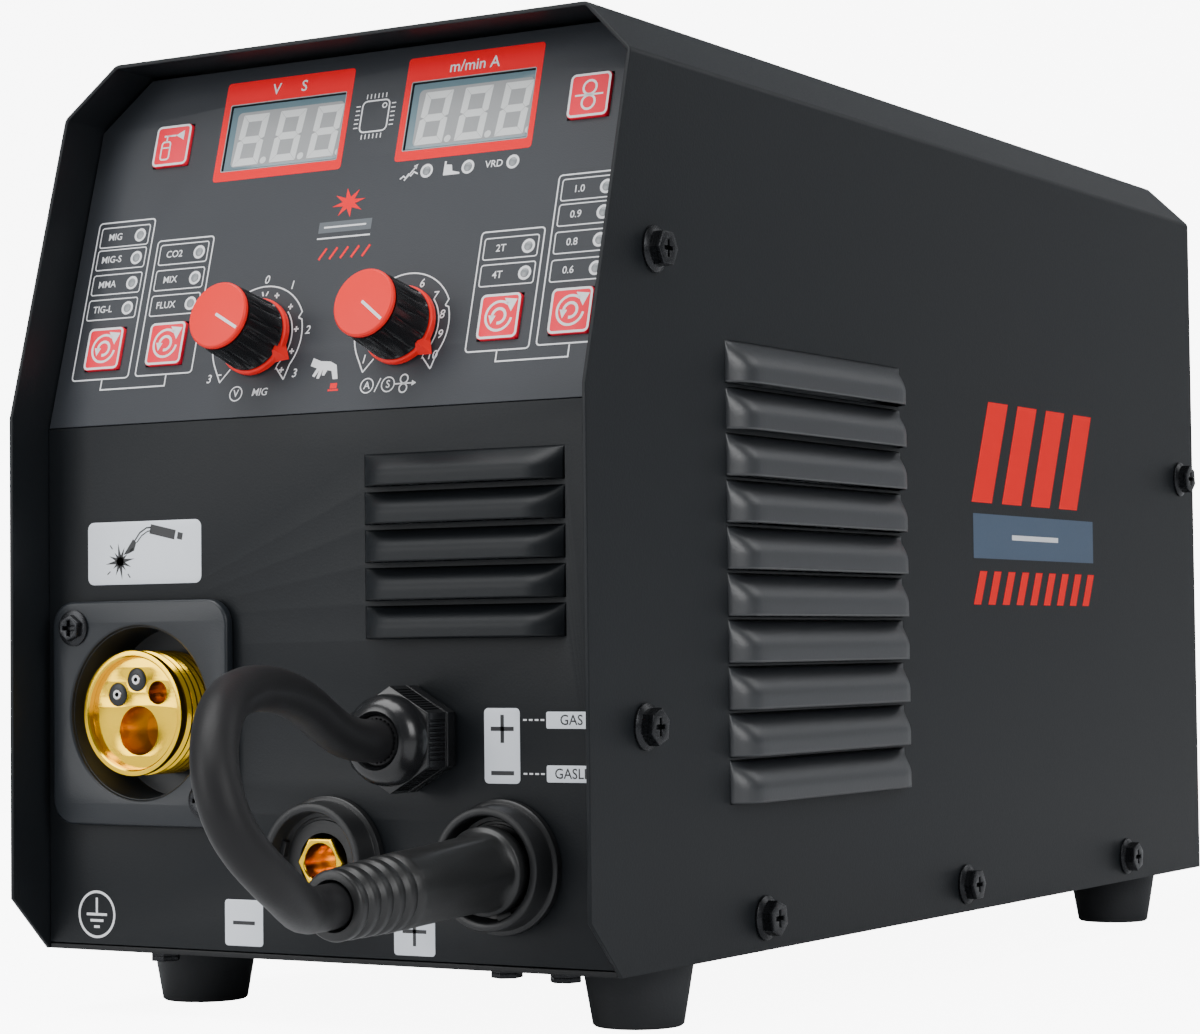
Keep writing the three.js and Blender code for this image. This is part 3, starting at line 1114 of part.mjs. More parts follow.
// Finned extrusion standing on the board beside the capacitors.
function heatSink() {
  const [, x1] = POWER_X;
  const [y0] = POWER_Y;
  const bottom = POWER_BOARD_Z + BOARD_THICKNESS + SEAT_GAP;
  const [from, to] = [x1 - 36, x1];
  const finPitch = 7;
  const profile = [[to, bottom], [to, bottom + 60]];
  for (let i = 0; i < 5; i += 1) {
    const x = to - i * finPitch;
    profile.push([x - 2, bottom + 60], [x - 2, bottom + 7], [x - finPitch, bottom + 7], [x - finPitch, bottom + 60]);
  }
  profile.push([from - 1, bottom + 60], [from - 1, bottom]);
  return alongY(profile, y0 + 12, y0 + 140);
}

// Main transformer under the board: laminated core with a round-cornered winding.
function mainTransformer() {
  const middleX = (POWER_X[0] + POWER_X[1]) / 2;
  const middleY = (POWER_Y[0] + POWER_Y[1]) / 2;
  const bottom = BASE_TOP + SEAT_GAP;
  const core = block(middleX - 30, middleX + 30, middleY - 22, middleY + 22, bottom, bottom + 44);
  const winding = slab(roundedRectangle(middleX, middleY, 40, 84, 12), bottom + 6, bottom + 38, 3);
  return join(core, winding);
}

addPiece('power_board', powerBoard(), FINISH.boardGreen);
addPiece('heat_sink', heatSink(), FINISH.aluminium);
addPiece('main_transformer', mainTransformer(), FINISH.copper);

// ---------------------------------------------------------------- placing on the origin

// The origin is under the middle of the box of everything but the lead and its plug.
const FREE_PIECES = new Set(['plug_sleeve', 'plug_pin', 'polarity_lead']);

function standOnOrigin(group) {
  group.updateMatrixWorld(true);
  const box = new THREE.Box3();
  group.traverse((item) => {
    if (item.isMesh && !FREE_PIECES.has(item.name)) box.expandByObject(item, true);
  });
  const centre = box.getCenter(new THREE.Vector3());
  group.position.set(-centre.x, -centre.y, -box.min.z);
}

standOnOrigin(welder);

export default welder;
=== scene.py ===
import math

import bmesh
import bpy
from mathutils import Matrix, Vector
from mathutils.geometry import tessellate_polygon


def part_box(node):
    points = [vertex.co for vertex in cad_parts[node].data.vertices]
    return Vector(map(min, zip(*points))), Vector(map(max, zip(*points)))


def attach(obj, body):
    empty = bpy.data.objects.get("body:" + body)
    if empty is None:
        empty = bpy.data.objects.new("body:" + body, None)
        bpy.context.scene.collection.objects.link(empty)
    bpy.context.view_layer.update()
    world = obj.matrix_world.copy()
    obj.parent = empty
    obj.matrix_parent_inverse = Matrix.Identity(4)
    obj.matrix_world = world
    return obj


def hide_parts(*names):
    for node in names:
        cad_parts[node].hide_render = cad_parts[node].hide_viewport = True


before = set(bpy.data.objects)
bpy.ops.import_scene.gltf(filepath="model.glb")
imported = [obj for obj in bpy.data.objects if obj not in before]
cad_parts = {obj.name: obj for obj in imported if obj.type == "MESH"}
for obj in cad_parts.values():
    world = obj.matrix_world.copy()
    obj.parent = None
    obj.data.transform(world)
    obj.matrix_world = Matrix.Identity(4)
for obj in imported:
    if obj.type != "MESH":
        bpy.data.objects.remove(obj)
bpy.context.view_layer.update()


# ---- Floor, light and camera ---------------------------------------------------------
# A pale studio sweep, a large soft light overhead, one from the front left, one from the
# right and a weak one from the far right, and a camera a little below the case's middle.
FLOOR_COLOUR = (0.75, 0.76, 0.78, 1.0)
CAMERA_PLACE = Vector((0.48775, -0.8684, 0.1005))
CAMERA_TURN, CAMERA_TILT, CAMERA_ROLL = (math.radians(a) for a in (30.97, -2.40, -0.64))

floor_mesh = bpy.data.meshes.new("studio_floor")
sweep = [(-6, 0.0), (1.6, 0.0), (2.2, 0.12), (2.6, 0.5), (2.8, 1.2), (2.85, 4.0)]
floor_rows = [(x, y, z) for y, z in sweep for x in (-6.0, 6.0)]
floor_faces = [(2 * i, 2 * i + 1, 2 * i + 3, 2 * i + 2) for i in range(len(sweep) - 1)]
floor_mesh.from_pydata(floor_rows, [], floor_faces)
for face in floor_mesh.polygons:
    face.use_smooth = True
studio_floor = bpy.data.objects.new("studio_floor", floor_mesh)
bpy.context.collection.objects.link(studio_floor)


def glow_for_camera(tree, socket, plain, seen):
    """Sets a strength that is higher for what the camera sees directly than for what is lit."""
    path = tree.nodes.new("ShaderNodeLightPath")
    spread = tree.nodes.new("ShaderNodeMapRange")
    spread.inputs["To Min"].default_value = plain
    spread.inputs["To Max"].default_value = seen
    tree.links.new(path.outputs["Is Camera Ray"], spread.inputs["Value"])
    tree.links.new(spread.outputs["Result"], socket)


paper = bpy.data.materials.new("studio_paper")
paper.use_nodes = True
paper_shader = paper.node_tree.nodes["Principled BSDF"]
paper_shader.inputs["Base Color"].default_value = FLOOR_COLOUR
paper_shader.inputs["Roughness"].default_value = 0.9
paper_shader.inputs["Emission Color"].default_value = (1.0, 1.0, 1.0, 1.0)
glow_for_camera(paper.node_tree, paper_shader.inputs["Emission Strength"], 0.0, 8.0)
floor_mesh.materials.append(paper)

world = bpy.data.worlds.new("studio")
bpy.context.scene.world = world
world.use_nodes = True
backdrop = world.node_tree.nodes["Background"]
backdrop.inputs["Color"].default_value = (0.93, 0.965, 1.0, 1.0)
glow_for_camera(world.node_tree, backdrop.inputs["Strength"], 0.22, 8.0)


def soft_light(name, place, aim, size, power):
    lamp = bpy.data.lights.new(name, "AREA")
    lamp.shape = "RECTANGLE"
    lamp.size, lamp.size_y = size
    lamp.energy = power
    holder = bpy.data.objects.new(name, lamp)
    holder.location = place
    holder.rotation_euler = (Vector(aim) - Vector(place)).to_track_quat("-Z", "Y").to_euler()
    bpy.context.collection.objects.link(holder)


soft_light("light_top", (-0.3, -0.7, 1.9), (0, -0.15, 0.1), (1.6, 1.6), 48)
soft_light("light_front_left", (-1.0, -1.7, 0.7), (0, -0.1, 0.12), (0.9, 1.2), 17)
soft_light("light_right", (1.9, -0.8, 1.0), (0, 0.0, 0.13), (1.0, 1.0), 20)
soft_light("light_far_right", (1.5, 1.6, 1.5), (0, 0.1, 0.2), (1.2, 0.8), 6)

camera_data = bpy.data.cameras.new("camera")
camera_data.lens = 92.07
camera_data.sensor_width = 36
camera_data.sensor_fit = "HORIZONTAL"
camera_data.clip_start = 0.05
camera = bpy.data.objects.new("camera", camera_data)
ahead = Vector((-math.sin(CAMERA_TURN) * math.cos(CAMERA_TILT),
                math.cos(CAMERA_TURN) * math.cos(CAMERA_TILT), -math.sin(CAMERA_TILT)))
right = Vector((math.cos(CAMERA_TURN), math.sin(CAMERA_TURN), 0))
up = right.cross(ahead)
rolled_right = math.cos(CAMERA_ROLL) * right + math.sin(CAMERA_ROLL) * up
rolled_up = -math.sin(CAMERA_ROLL) * right + math.cos(CAMERA_ROLL) * up
axes = Matrix((rolled_right, rolled_up, -ahead)).transposed().to_4x4()
camera.matrix_world = Matrix.Translation(CAMERA_PLACE) @ axes
bpy.context.collection.objects.link(camera)
bpy.context.scene.camera = camera


# ---- Polarity lead -------------------------------------------------------------------
# A short flexible welding cable in black rubber. It leaves the gland, arches down and
# goes into the back of its plug, and the plug hangs from the plus socket.

# The base tray gives the case's middle and underside, and the cover gives its front edge.
# Sizes are in millimetres from there, and on_case() turns them into the frame's metres.
tray_low, tray_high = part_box("base_tray")
cover_low, cover_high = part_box("cover_shell")
CASE_CORNER = Vector(((tray_low.x + tray_high.x) / 2, cover_low.y, tray_low.z))


def on_case(x, y, z):
    return CASE_CORNER + Vector((x, y, z)) / 1000


LEAD_DIAMETER = 11.0
LEAD_ROUTE = [
    (33, 2.8, 59.4), (33, -5.2, 59.4), (33.2, -13.5, 60), (34.3, -22.5, 62), (36.3, -32.5, 65.7),
    (39, -43.5, 69.8), (42, -55.5, 72.6), (45.5, -68, 73.8), (50, -81.5, 73.4), (54.8, -94, 70.8),
    (59.2, -103, 65.6), (62.6, -108.3, 58.6), (65.2, -110, 51.4), (67.2, -109, 44.8),
    (68.7, -105.3, 38.8), (69.2, -99, 33.4), (68.2, -91, 28.8), (65.4, -82.5, 25.2),
    (61.8, -74.3, 23), (59.6, -66.8, 22.4), (59.2, -59, 22.7), (59.2, -51, 23.1),
]


def surface_group():
    """Slow colour and gloss variation with a fine grain, shared by every material."""
    group = bpy.data.node_groups.new("surface", "ShaderNodeTree")
    face = group.interface
    for name, kind, value in [("Colour", "NodeSocketColor", (0.5, 0.5, 0.5, 1)),
                              ("Second colour", "NodeSocketColor", (0.5, 0.5, 0.5, 1)),
                              ("Patch size", "NodeSocketFloat", 30.0),
                              ("Roughness low", "NodeSocketFloat", 0.4),
                              ("Roughness high", "NodeSocketFloat", 0.5),
                              ("Grain size", "NodeSocketFloat", 900.0),]:
        face.new_socket(name, in_out="INPUT", socket_type=kind).default_value = value
    for name, kind in [("Colour", "NodeSocketColor"), ("Roughness", "NodeSocketFloat"),
                       ("Height", "NodeSocketFloat")]:
        face.new_socket(name, in_out="OUTPUT", socket_type=kind)
    nodes, links = group.nodes, group.links
    given, result = nodes.new("NodeGroupInput"), nodes.new("NodeGroupOutput")
    place = nodes.new("ShaderNodeTexCoord")
    patches, grain = nodes.new("ShaderNodeTexNoise"), nodes.new("ShaderNodeTexNoise")
    patches.inputs["Detail"].default_value = 4
    grain.inputs["Detail"].default_value = 3
    mix = nodes.new("ShaderNodeMix")
    mix.data_type = "RGBA"
    spread = nodes.new("ShaderNodeMapRange")
    links.new(place.outputs["Object"], patches.inputs["Vector"])
    links.new(place.outputs["Object"], grain.inputs["Vector"])
    links.new(given.outputs["Patch size"], patches.inputs["Scale"])
    links.new(given.outputs["Grain size"], grain.inputs["Scale"])
    links.new(patches.outputs["Fac"], mix.inputs["Factor"])
    links.new(given.outputs["Colour"], mix.inputs["A"])
    links.new(given.outputs["Second colour"], mix.inputs["B"])
    links.new(grain.outputs["Fac"], spread.inputs["Value"])
    links.new(given.outputs["Roughness low"], spread.inputs["To Min"])
    links.new(given.outputs["Roughness high"], spread.inputs["To Max"])
    links.new(mix.outputs["Result"], result.inputs["Colour"])
    links.new(spread.outputs["Result"], result.inputs["Roughness"])
    links.new(grain.outputs["Fac"], result.inputs["Height"])
    return group


SURFACE = surface_group()


def made_of(name, colour, second, roughness, grain_size, grain_depth, patch_size=30.0, metallic=0.0,
            specular=0.5, coat=0.0, coat_roughness=0.1):
    """A Principled material whose colour, gloss and grain come from the surface group."""
    material = bpy.data.materials.new(name)
    material.use_nodes = True
    nodes, links = material.node_tree.nodes, material.node_tree.links
    shader = nodes["Principled BSDF"]
    surface = nodes.new("ShaderNodeGroup")
    surface.node_tree = SURFACE
    surface.inputs["Colour"].default_value = (*colour, 1)
    surface.inputs["Second colour"].default_value = (*second, 1)
    surface.inputs["Patch size"].default_value = patch_size
    surface.inputs["Roughness low"].default_value = roughness[0]
    surface.inputs["Roughness high"].default_value = roughness[1]
    surface.inputs["Grain size"].default_value = grain_size
    bump = nodes.new("ShaderNodeBump")
    bump.inputs["Strength"].default_value = 1.0
    bump.inputs["Distance"].default_value = grain_depth
    links.new(surface.outputs["Colour"], shader.inputs["Base Color"])
    links.new(surface.outputs["Roughness"], shader.inputs["Roughness"])
    links.new(surface.outputs["Height"], bump.inputs["Height"])
    links.new(bump.outputs["Normal"], shader.inputs["Normal"])
    shader.inputs["Metallic"].default_value = metallic
    shader.inputs["Specular IOR Level"].default_value = specular
    shader.inputs["Coat Weight"].default_value = coat
    shader.inputs["Coat Roughness"].default_value = coat_roughness
    return material


def seat(piece, body, slot, material, *nodes):
    """Gives a piece its material and its body, and hides the CAD nodes that it stands for."""
    if material is not None:
        piece.data.materials.clear()
        piece.data.materials.append(material)
    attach(piece, body)
    if nodes:
        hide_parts(*nodes)
    return piece


cable_rubber = made_of("cable_rubber", (0.012, 0.012, 0.013), (0.018, 0.018, 0.019), (0.42, 0.52), 1400,
                       0.00003, patch_size=60, specular=0.2)
lead_curve = bpy.data.curves.new("polarity_lead_rubber", "CURVE")
lead_curve.dimensions = "3D"
lead_curve.bevel_depth = LEAD_DIAMETER / 2000
lead_curve.bevel_resolution = 8
lead_curve.resolution_u = 8
lead_curve.use_fill_caps = True
lead_line = lead_curve.splines.new("BEZIER")
lead_line.bezier_points.add(len(LEAD_ROUTE) - 1)
for knot, spot in zip(lead_line.bezier_points, LEAD_ROUTE):
    knot.co = on_case(*spot)
    knot.handle_left_type = knot.handle_right_type = "AUTO"
lead = bpy.data.objects.new("polarity_lead_rubber", lead_curve)
bpy.context.collection.objects.link(lead)
seat(lead, "case", "black_rubber", cable_rubber, "polarity_lead")


# ---- Case cover ----------------------------------------------------------------------
# One 1.2 mm steel sheet folded four times over the top corners and powder coated satin
# charcoal. Ten louvers are pressed into the right side, and the left side has a doorway.
PANEL_SET_BACK = (tray_low.y - cover_low.y) * 1000
WIDTH = 188.0
HEIGHT = (cover_high.z - tray_low.z) * 1000
LENGTH = (cover_high.y - cover_low.y) * 1000
SHEET = 1.2
BEND_RADIUS = 2.6
CORNER_IN, CORNER_DOWN = 15.4, 14.7
FACE_TILT = math.radians(15.4)
KNEE_Z = 146.0
DOORWAY_Y, DOORWAY_Z = (60.0, 405.0), (18.0, 230.0)
SIDE_LOUVER = {"count": 10, "start": 72.0, "length": 108.0, "lowest": 40.5, "pitch": 12.5, "height": 11.5}
LOUVER_REACH = 5.5


def case_placing(x=0.0, y=0.0, z=0.0):
    return Matrix.Translation(on_case(x, y, z)) @ Matrix.Scale(0.001, 4)


powder_coat = made_of("powder_coat", (0.0085, 0.0100, 0.0118), (0.0100, 0.0118, 0.0138), (0.40, 0.48), 1500,
                      0.000035, patch_size=9, specular=0.2)
# The side louvers get the same powder coat made lighter and glossier: the lighter colour is a painted
# highlight for the light on their pressed tops.
louver_painted_highlight_coat = made_of("louver_painted_highlight_coat", (0.020, 0.022, 0.0255), (0.024, 0.0265, 0.030), (0.34, 0.42), 1500,
                      0.000035, patch_size=9, specular=0.7)


def piece_from(name, points, faces, placing=None, smooth_angle=35):
    """A mesh piece from corner points and faces, smoothed except at its sharper folds."""
    mesh = bpy.data.meshes.new(name)
    mesh.from_pydata([tuple(p) for p in points], [], faces)
    if placing is not None:
        mesh.transform(placing)
    return finished(name, mesh, smooth_angle)


def finished(name, mesh, smooth_angle=35):
    shell = bmesh.new()
    shell.from_mesh(mesh)
    bmesh.ops.remove_doubles(shell, verts=shell.verts, dist=1e-6)
    bmesh.ops.recalc_face_normals(shell, faces=shell.faces)
    shell.to_mesh(mesh)
    shell.free()
    mesh.polygons.foreach_set("use_smooth", [True] * len(mesh.polygons))
    mesh.set_sharp_from_angle(angle=math.radians(smooth_angle))
    piece = bpy.data.objects.new(name, mesh)
    bpy.context.collection.objects.link(piece)
    return piece


def applied(piece):
    """Bakes a piece's modifiers into its mesh."""
    bpy.context.view_layer.update()
    baked = bpy.data.meshes.new_from_object(piece.evaluated_get(bpy.context.evaluated_depsgraph_get()))
    piece.modifiers.clear()
    old, piece.data = piece.data, baked
    bpy.data.meshes.remove(old)
    return piece


def thickened(piece, thickness, edge=0.0):
    """Gives an open sheet its thickness on the inner side, and rounds its cut edges."""
    solid = piece.modifiers.new("sheet", "SOLIDIFY")
    solid.thickness = thickness / 1000
    solid.offset = -1
    solid.use_even_offset = True
    if edge:
        rim = piece.modifiers.new("cut_edge", "BEVEL")
        rim.width = edge / 1000
        rim.segments = 2
        rim.limit_method = "ANGLE"
        rim.angle_limit = math.radians(60)
    firm = piece.modifiers.new("flats", "WEIGHTED_NORMAL")
    firm.keep_sharp = False
    return applied(piece)


def rounded_corners(points, radius, steps=5):
    """An open run of (x, z) points with each inner corner turned into an arc."""
    run = [points[0]]
    for before, here, after in zip(points, points[1:], points[2:]):
        here_v = Vector(here)
        to_before, to_after = (Vector(before) - here_v).normalized(), (Vector(after) - here_v).normalized()
        half = to_before.angle(to_after) / 2
        if half > 1.5:
            run.append(here)
            continue
        room = 0.45 * min((Vector(before) - here_v).length, (Vector(after) - here_v).length)
        back = min(radius / math.tan(half), room)
        centre = here_v + (to_before + to_after).normalized() * back / math.cos(half)
        start, end = here_v + to_before * back - centre, here_v + to_after * back - centre
        turn = start.angle_signed(end)
        for i in range(steps + 1):
            run.append(tuple(centre + Matrix.Rotation(-turn * i / steps, 2) @ start))
    run.append(points[-1])
    return run


def louver_surface(length, height, reach, foot=0.0, across=28, rows=16):
    """Points of one pressed louver over its footprint: along, up and out of the sheet."""
    slope, shoulder = 9.0, 0.30
    grid = []
    for j in range(rows + 1):
        up_share = j / rows
        line = []
        for i in range(across + 1):
            along_share = i / across
            along = length * (along_share - math.sin(2 * math.pi * along_share) / (2 * math.pi) * 0.8)
            side = min(along, length - along) / slope
            end = 1 - max(0.0, 1 - side) ** 2.2 if side < 1 else 1.0
            fall = (up_share - shoulder) / (1 - shoulder)
            crest = 1.0 if fall <= 0 else math.cos(fall * math.pi / 2) ** 0.9
            line.append((along, foot + up_share * height, reach * end * crest))
        grid.append(line)
    return grid


def louver_row(name, count, pitch, length, height, reach, placing):
    """A column of louvers as one mesh, each closed at its ends and open at its lower lip."""
    points, faces = [], []
    for k in range(count):
        base = len(points)
        grid = louver_surface(length, height, reach)
        across = len(grid[0])
        for line in grid:
            points.extend((u, v + k * pitch, w) for u, v, w in line)
        for j in range(len(grid) - 1):
            for i in range(across - 1):
                a = base + j * across + i
                faces.append((a, a + 1, a + across + 1, a + across))
    row = piece_from(name, points, faces, placing, 75)
    return thickened(row, 0.9, 0.0)


side = WIDTH / 2
shoulder_z = HEIGHT - CORNER_DOWN
ridge_x = side - CORNER_IN
folds = [(-side, 0), (-side, shoulder_z), (-ridge_x, HEIGHT), (ridge_x, HEIGHT), (side, shoulder_z),
         (side, 0)]
arc_run = rounded_corners(folds, BEND_RADIUS)
louver_bands = []
for k in range(SIDE_LOUVER["count"]):
    low = SIDE_LOUVER["lowest"] + k * SIDE_LOUVER["pitch"]
    louver_bands.append((low, low + SIDE_LOUVER["height"]))
knee = KNEE_Z + PANEL_SET_BACK * math.tan(FACE_TILT / 2)
left_stops = [PANEL_SET_BACK, DOORWAY_Z[0], knee, DOORWAY_Z[1]]
right_stops = [PANEL_SET_BACK, *[z for band in louver_bands for z in band], knee]
section = [arc_run[0]] + [(-side, z) for z in left_stops] + arc_run[1:-1]
section += [(side, z) for z in sorted(right_stops, reverse=True)] + [arc_run[-1]]


def front_edge(z):
    if z < PANEL_SET_BACK:
        return PANEL_SET_BACK - z
    return max(0.0, (z - knee) * math.tan(FACE_TILT))


louver_y = (SIDE_LOUVER["start"], SIDE_LOUVER["start"] + SIDE_LOUVER["length"])
columns = [None, DOORWAY_Y[0], louver_y[0], 120.0, louver_y[1], 300.0, DOORWAY_Y[1], LENGTH]
cover_points = [(x, front_edge(z) if y is None else y, z) for x, z in section for y in columns]
cover_faces = []
for i in range(len(section) - 1):
    (x0, z0), (x1, z1) = section[i], section[i + 1]
    for j in range(len(columns) - 1):
        y0, y1 = columns[j] or 0.0, columns[j + 1]
        low, high = sorted((z0, z1))
        in_doorway = x0 == x1 == -side and low >= DOORWAY_Z[0] - 0.01 and high <= DOORWAY_Z[1] + 0.01
        in_doorway = in_doorway and y0 >= DOORWAY_Y[0] and y1 <= DOORWAY_Y[1]
        in_louver = x0 == x1 == side and any(abs(low - a) < 0.01 and abs(high - b) < 0.01 for a,
                                             b in louver_bands)
        in_louver = in_louver and y0 >= louver_y[0] and y1 <= louver_y[1]
        if not in_doorway and not in_louver:
            a = i * len(columns) + j
            cover_faces.append((a, a + 1, a + len(columns) + 1, a + len(columns)))
cover = piece_from("case_cover", cover_points, cover_faces, case_placing(), 50)
thickened(cover, SHEET, 0.25)
seat(cover, "case", "powder_coat", powder_coat, "cover_shell")

# The louvers on the side are their own mesh inside the cover's ten windows, coated in a lighter copy of the
# powder coat whose lighter colour is a painted highlight.
side_turn = Matrix(((0, 0, 1, 0), (1, 0, 0, 0), (0, 1, 0, 0), (0, 0, 0, 1)))
side_louvers = louver_row(
    "side_louvers", SIDE_LOUVER["count"], SIDE_LOUVER["pitch"], SIDE_LOUVER["length"], SIDE_LOUVER["height"],
    LOUVER_REACH, case_placing(side - 0.05, SIDE_LOUVER["start"], SIDE_LOUVER["lowest"]) @ side_turn)
seat(side_louvers, "case", "powder_coat", louver_painted_highlight_coat)


# ---- Front panel ---------------------------------------------------------------------
# A folded steel panel inside the cover: an upright lower sheet with five louvers and the
# holes for the fittings, and a tilted upper sheet that carries the control face.
FRONT_LOUVER = {"count": 5, "start": 16.5, "length": 62.0, "lowest": 85.5, "pitch": 10.0, "height": 8.5}
EURO_PLACE, EURO_HOLE = (-57.7, 65.9), 25.9
GLAND_PLACE = (33.0, 59.4)
SOCKET_PLACES = {"minus": (4.8, 26.8), "plus": (59.2, 26.8)}
PANEL_SHEET = 1.5


def round_path(x, y, radius, sides=40, start=0.0):
    return [(x + radius * math.cos(start + 2 * math.pi * i / sides),
             y + radius * math.sin(start + 2 * math.pi * i / sides)) for i in range(sides)]


def soft_rectangle(x0, x1, y0, y1, radius, steps=6):
    corners = [(x1 - radius, y1 - radius, 0), (x0 + radius, y1 - radius, 90), (x0 + radius, y0 + radius, 180),
               (x1 - radius, y0 + radius, 270)]
    path = []
    for cx, cy, turn in corners:
        for i in range(steps + 1):
            angle = math.radians(turn + 90 * i / steps)
            path.append((cx + radius * math.cos(angle), cy + radius * math.sin(angle)))
    return path


def plate(name, outer, holes, bottom, top, placing, edge=0.0, smooth_angle=35):
    """A flat plate with holes, from bottom to top, with its top edges eased by edge."""
    curve = bpy.data.curves.new(name, "CURVE")
    curve.dimensions = "2D"
    curve.fill_mode = "BOTH"
    curve.extrude = (top - bottom) / 2 - edge
    curve.bevel_depth = edge
    curve.bevel_resolution = 2
    curve.offset = -edge
    for path in [outer, *holes]:
        line = curve.splines.new("POLY")
        line.points.add(len(path) - 1)
        line.use_cyclic_u = True
        for point, (x, y) in zip(line.points, path):
            point.co = (x, y, 0, 1)
    holder = bpy.data.objects.new(name, curve)
    mesh = bpy.data.meshes.new_from_object(holder)
    bpy.data.objects.remove(holder)
    bpy.data.curves.remove(curve)
    mesh.transform(placing @ Matrix.Translation((0, 0, (top + bottom) / 2)))
    mesh.materials.clear()
    return finished(name, mesh, smooth_angle)


# Lower front: x right, y up, z out of the panel. Control face: the same, tilted back.
FRONT = case_placing(0, PANEL_SET_BACK, 0) @ Matrix.Rotation(math.pi / 2, 4, "X")
FACE = case_placing(0, PANEL_SET_BACK, KNEE_Z) @ Matrix.Rotation(math.pi / 2 - FACE_TILT, 4, "X")
panel_half = side - SHEET - 0.3
louver_windows = []
for k in range(FRONT_LOUVER["count"]):
    low = FRONT_LOUVER["lowest"] + k * FRONT_LOUVER["pitch"]
    louver_windows.append([(FRONT_LOUVER["start"], low),
                           (FRONT_LOUVER["start"] + FRONT_LOUVER["length"], low),
                           (FRONT_LOUVER["start"] + FRONT_LOUVER["length"], low + FRONT_LOUVER["height"]),
                           (FRONT_LOUVER["start"], low + FRONT_LOUVER["height"])])
fitting_holes = [round_path(*EURO_PLACE, EURO_HOLE), round_path(*GLAND_PLACE, 10.1)]
fitting_holes += [round_path(*place, 10.9) for place in SOCKET_PLACES.values()]
lower_outline = [(-panel_half, 1.8), (panel_half, 1.8), (panel_half, KNEE_Z - 0.3),
                 (-panel_half, KNEE_Z - 0.3)]
lower_front = plate("lower_front_sheet", lower_outline, louver_windows + fitting_holes, -PANEL_SHEET, 0,
                    FRONT, 0.15)
seat(lower_front, "case", "powder_coat", powder_coat, "front_panel")
front_louvers = louver_row("front_louvers", FRONT_LOUVER["count"], FRONT_LOUVER["pitch"],
                           FRONT_LOUVER["length"], FRONT_LOUVER["height"], LOUVER_REACH,
                           FRONT @ Matrix.Translation((FRONT_LOUVER["start"], FRONT_LOUVER["lowest"],
                                                       -0.05)))
seat(front_louvers, "case", "powder_coat", powder_coat)


# ---- Control face --------------------------------------------------------------------
# Printed polycarbonate film, dark grey with a fine texture, glued on the tilted sheet.
# White and red inks carry the scales, boxes, pictograms and lamp places.
FACE_HALF, FACE_TOP, FACE_SHOULDER, FACE_RIDGE = 92.2, 105.28, 90.34, 77.1
BUTTON = 12.6
BUTTON_PLACES = {"gas_test": (-64.8, 83.5), "wire_inch": (74.1, 83.9), "process": (-76.7, 22.7),
                 "gas_type": (-54.6, 22.9), "trigger_mode": (55.6, 23.4), "wire_size": (77.4, 23.5)}
DISPLAY_WINDOW = (39.7, 20.0)
DISPLAY_PLACES = {"left": (-26.1, 83.9), "right": (35.8, 84.1)}
KNOB_PLACES = {"left": (-22.8, 22.5), "right": (25.0, 22.7)}
LINE = 0.42
LETTER_GAIN = 0.012

face_film = made_of("face_film", (0.029, 0.0325, 0.0385), (0.036, 0.040, 0.047), (0.44, 0.54), 2600, 0.00004,
                    patch_size=14, specular=0.35)
white_ink = made_of("white_ink", (0.78, 0.79, 0.81), (0.84, 0.85, 0.87), (0.45, 0.5), 1500, 0.00001)
red_ink = made_of("red_ink", (0.96, 0.002, 0.012), (0.99, 0.003, 0.016), (0.36, 0.42), 1500, 0.00001,
                  patch_size=60, specular=0.15)
grey_ink = made_of("grey_ink", (0.085, 0.10, 0.115), (0.10, 0.115, 0.13), (0.4, 0.45), 1500, 0.00001)


def centred_rectangle(place, width, height):
    x, y = place
    return [(x - width / 2, y - height / 2), (x + width / 2, y - height / 2),
            (x + width / 2, y + height / 2), (x - width / 2, y + height / 2)]


def stroke(path, width=LINE, closed=False):
    """A printed line of even width along a path."""
    spots = [Vector(p) for p in path]
    count = len(spots)
    edges = []
    for i, here in enumerate(spots):
        before = spots[i - 1] if (i or closed) else here
        after = spots[(i + 1) % count] if (i < count - 1 or closed) else here
        way_in = (here - before).normalized() if here != before else (after - here).normalized()
        way_out = (after - here).normalized() if after != here else way_in
        across_in, across_out = Vector((-way_in.y, way_in.x)), Vector((-way_out.y, way_out.x))
        miter = (across_in + across_out).normalized()
        reach = width / 2 / max(0.4, miter.dot(across_in))
        edges += [tuple(here + miter * reach), tuple(here - miter * reach)]
    last = count if closed else count - 1
    faces = [(2 * i, 2 * i + 1, (2 * i + 3) % (2 * count), (2 * i + 2) % (2 * count)) for i in range(last)]
    return edges, faces


def filled(outer, *holes):
    loops = [[Vector((x, y, 0)) for x, y in loop] for loop in (outer, *holes)]
    return [p for loop in (outer, *holes) for p in loop], [tuple(t) for t in tessellate_polygon(loops)]


def ring(x, y, outer, inner, sides=28):
    return stroke(round_path(x, y, (outer + inner) / 2, sides), outer - inner, closed=True)


def arc(x, y, radius, start, end, steps=24):
    return [(x + radius * math.cos(math.radians(start + (end - start) * i / steps)),
             y + radius * math.sin(math.radians(start + (end - start) * i / steps)))
            for i in range(steps + 1)]


def lettering(words, x, y, height, lean=0.0):
    """Plain sans figures or letters centred on (x, y), with capitals of that height."""
    curve = bpy.data.curves.new("letters", "FONT")
    curve.body = words
    curve.align_x, curve.align_y = "CENTER", "CENTER"
    curve.resolution_u = 3
    curve.shear = lean
    curve.size = height / 0.73
    curve.offset = LETTER_GAIN * height
    holder = bpy.data.objects.new("letters", curve)
    mesh = bpy.data.meshes.new_from_object(holder)
    points = [(v.co.x + x, v.co.y + y) for v in mesh.vertices]
    faces = [tuple(f.vertices) for f in mesh.polygons]
    bpy.data.objects.remove(holder)
    bpy.data.curves.remove(curve)
    bpy.data.meshes.remove(mesh)
    return points, faces


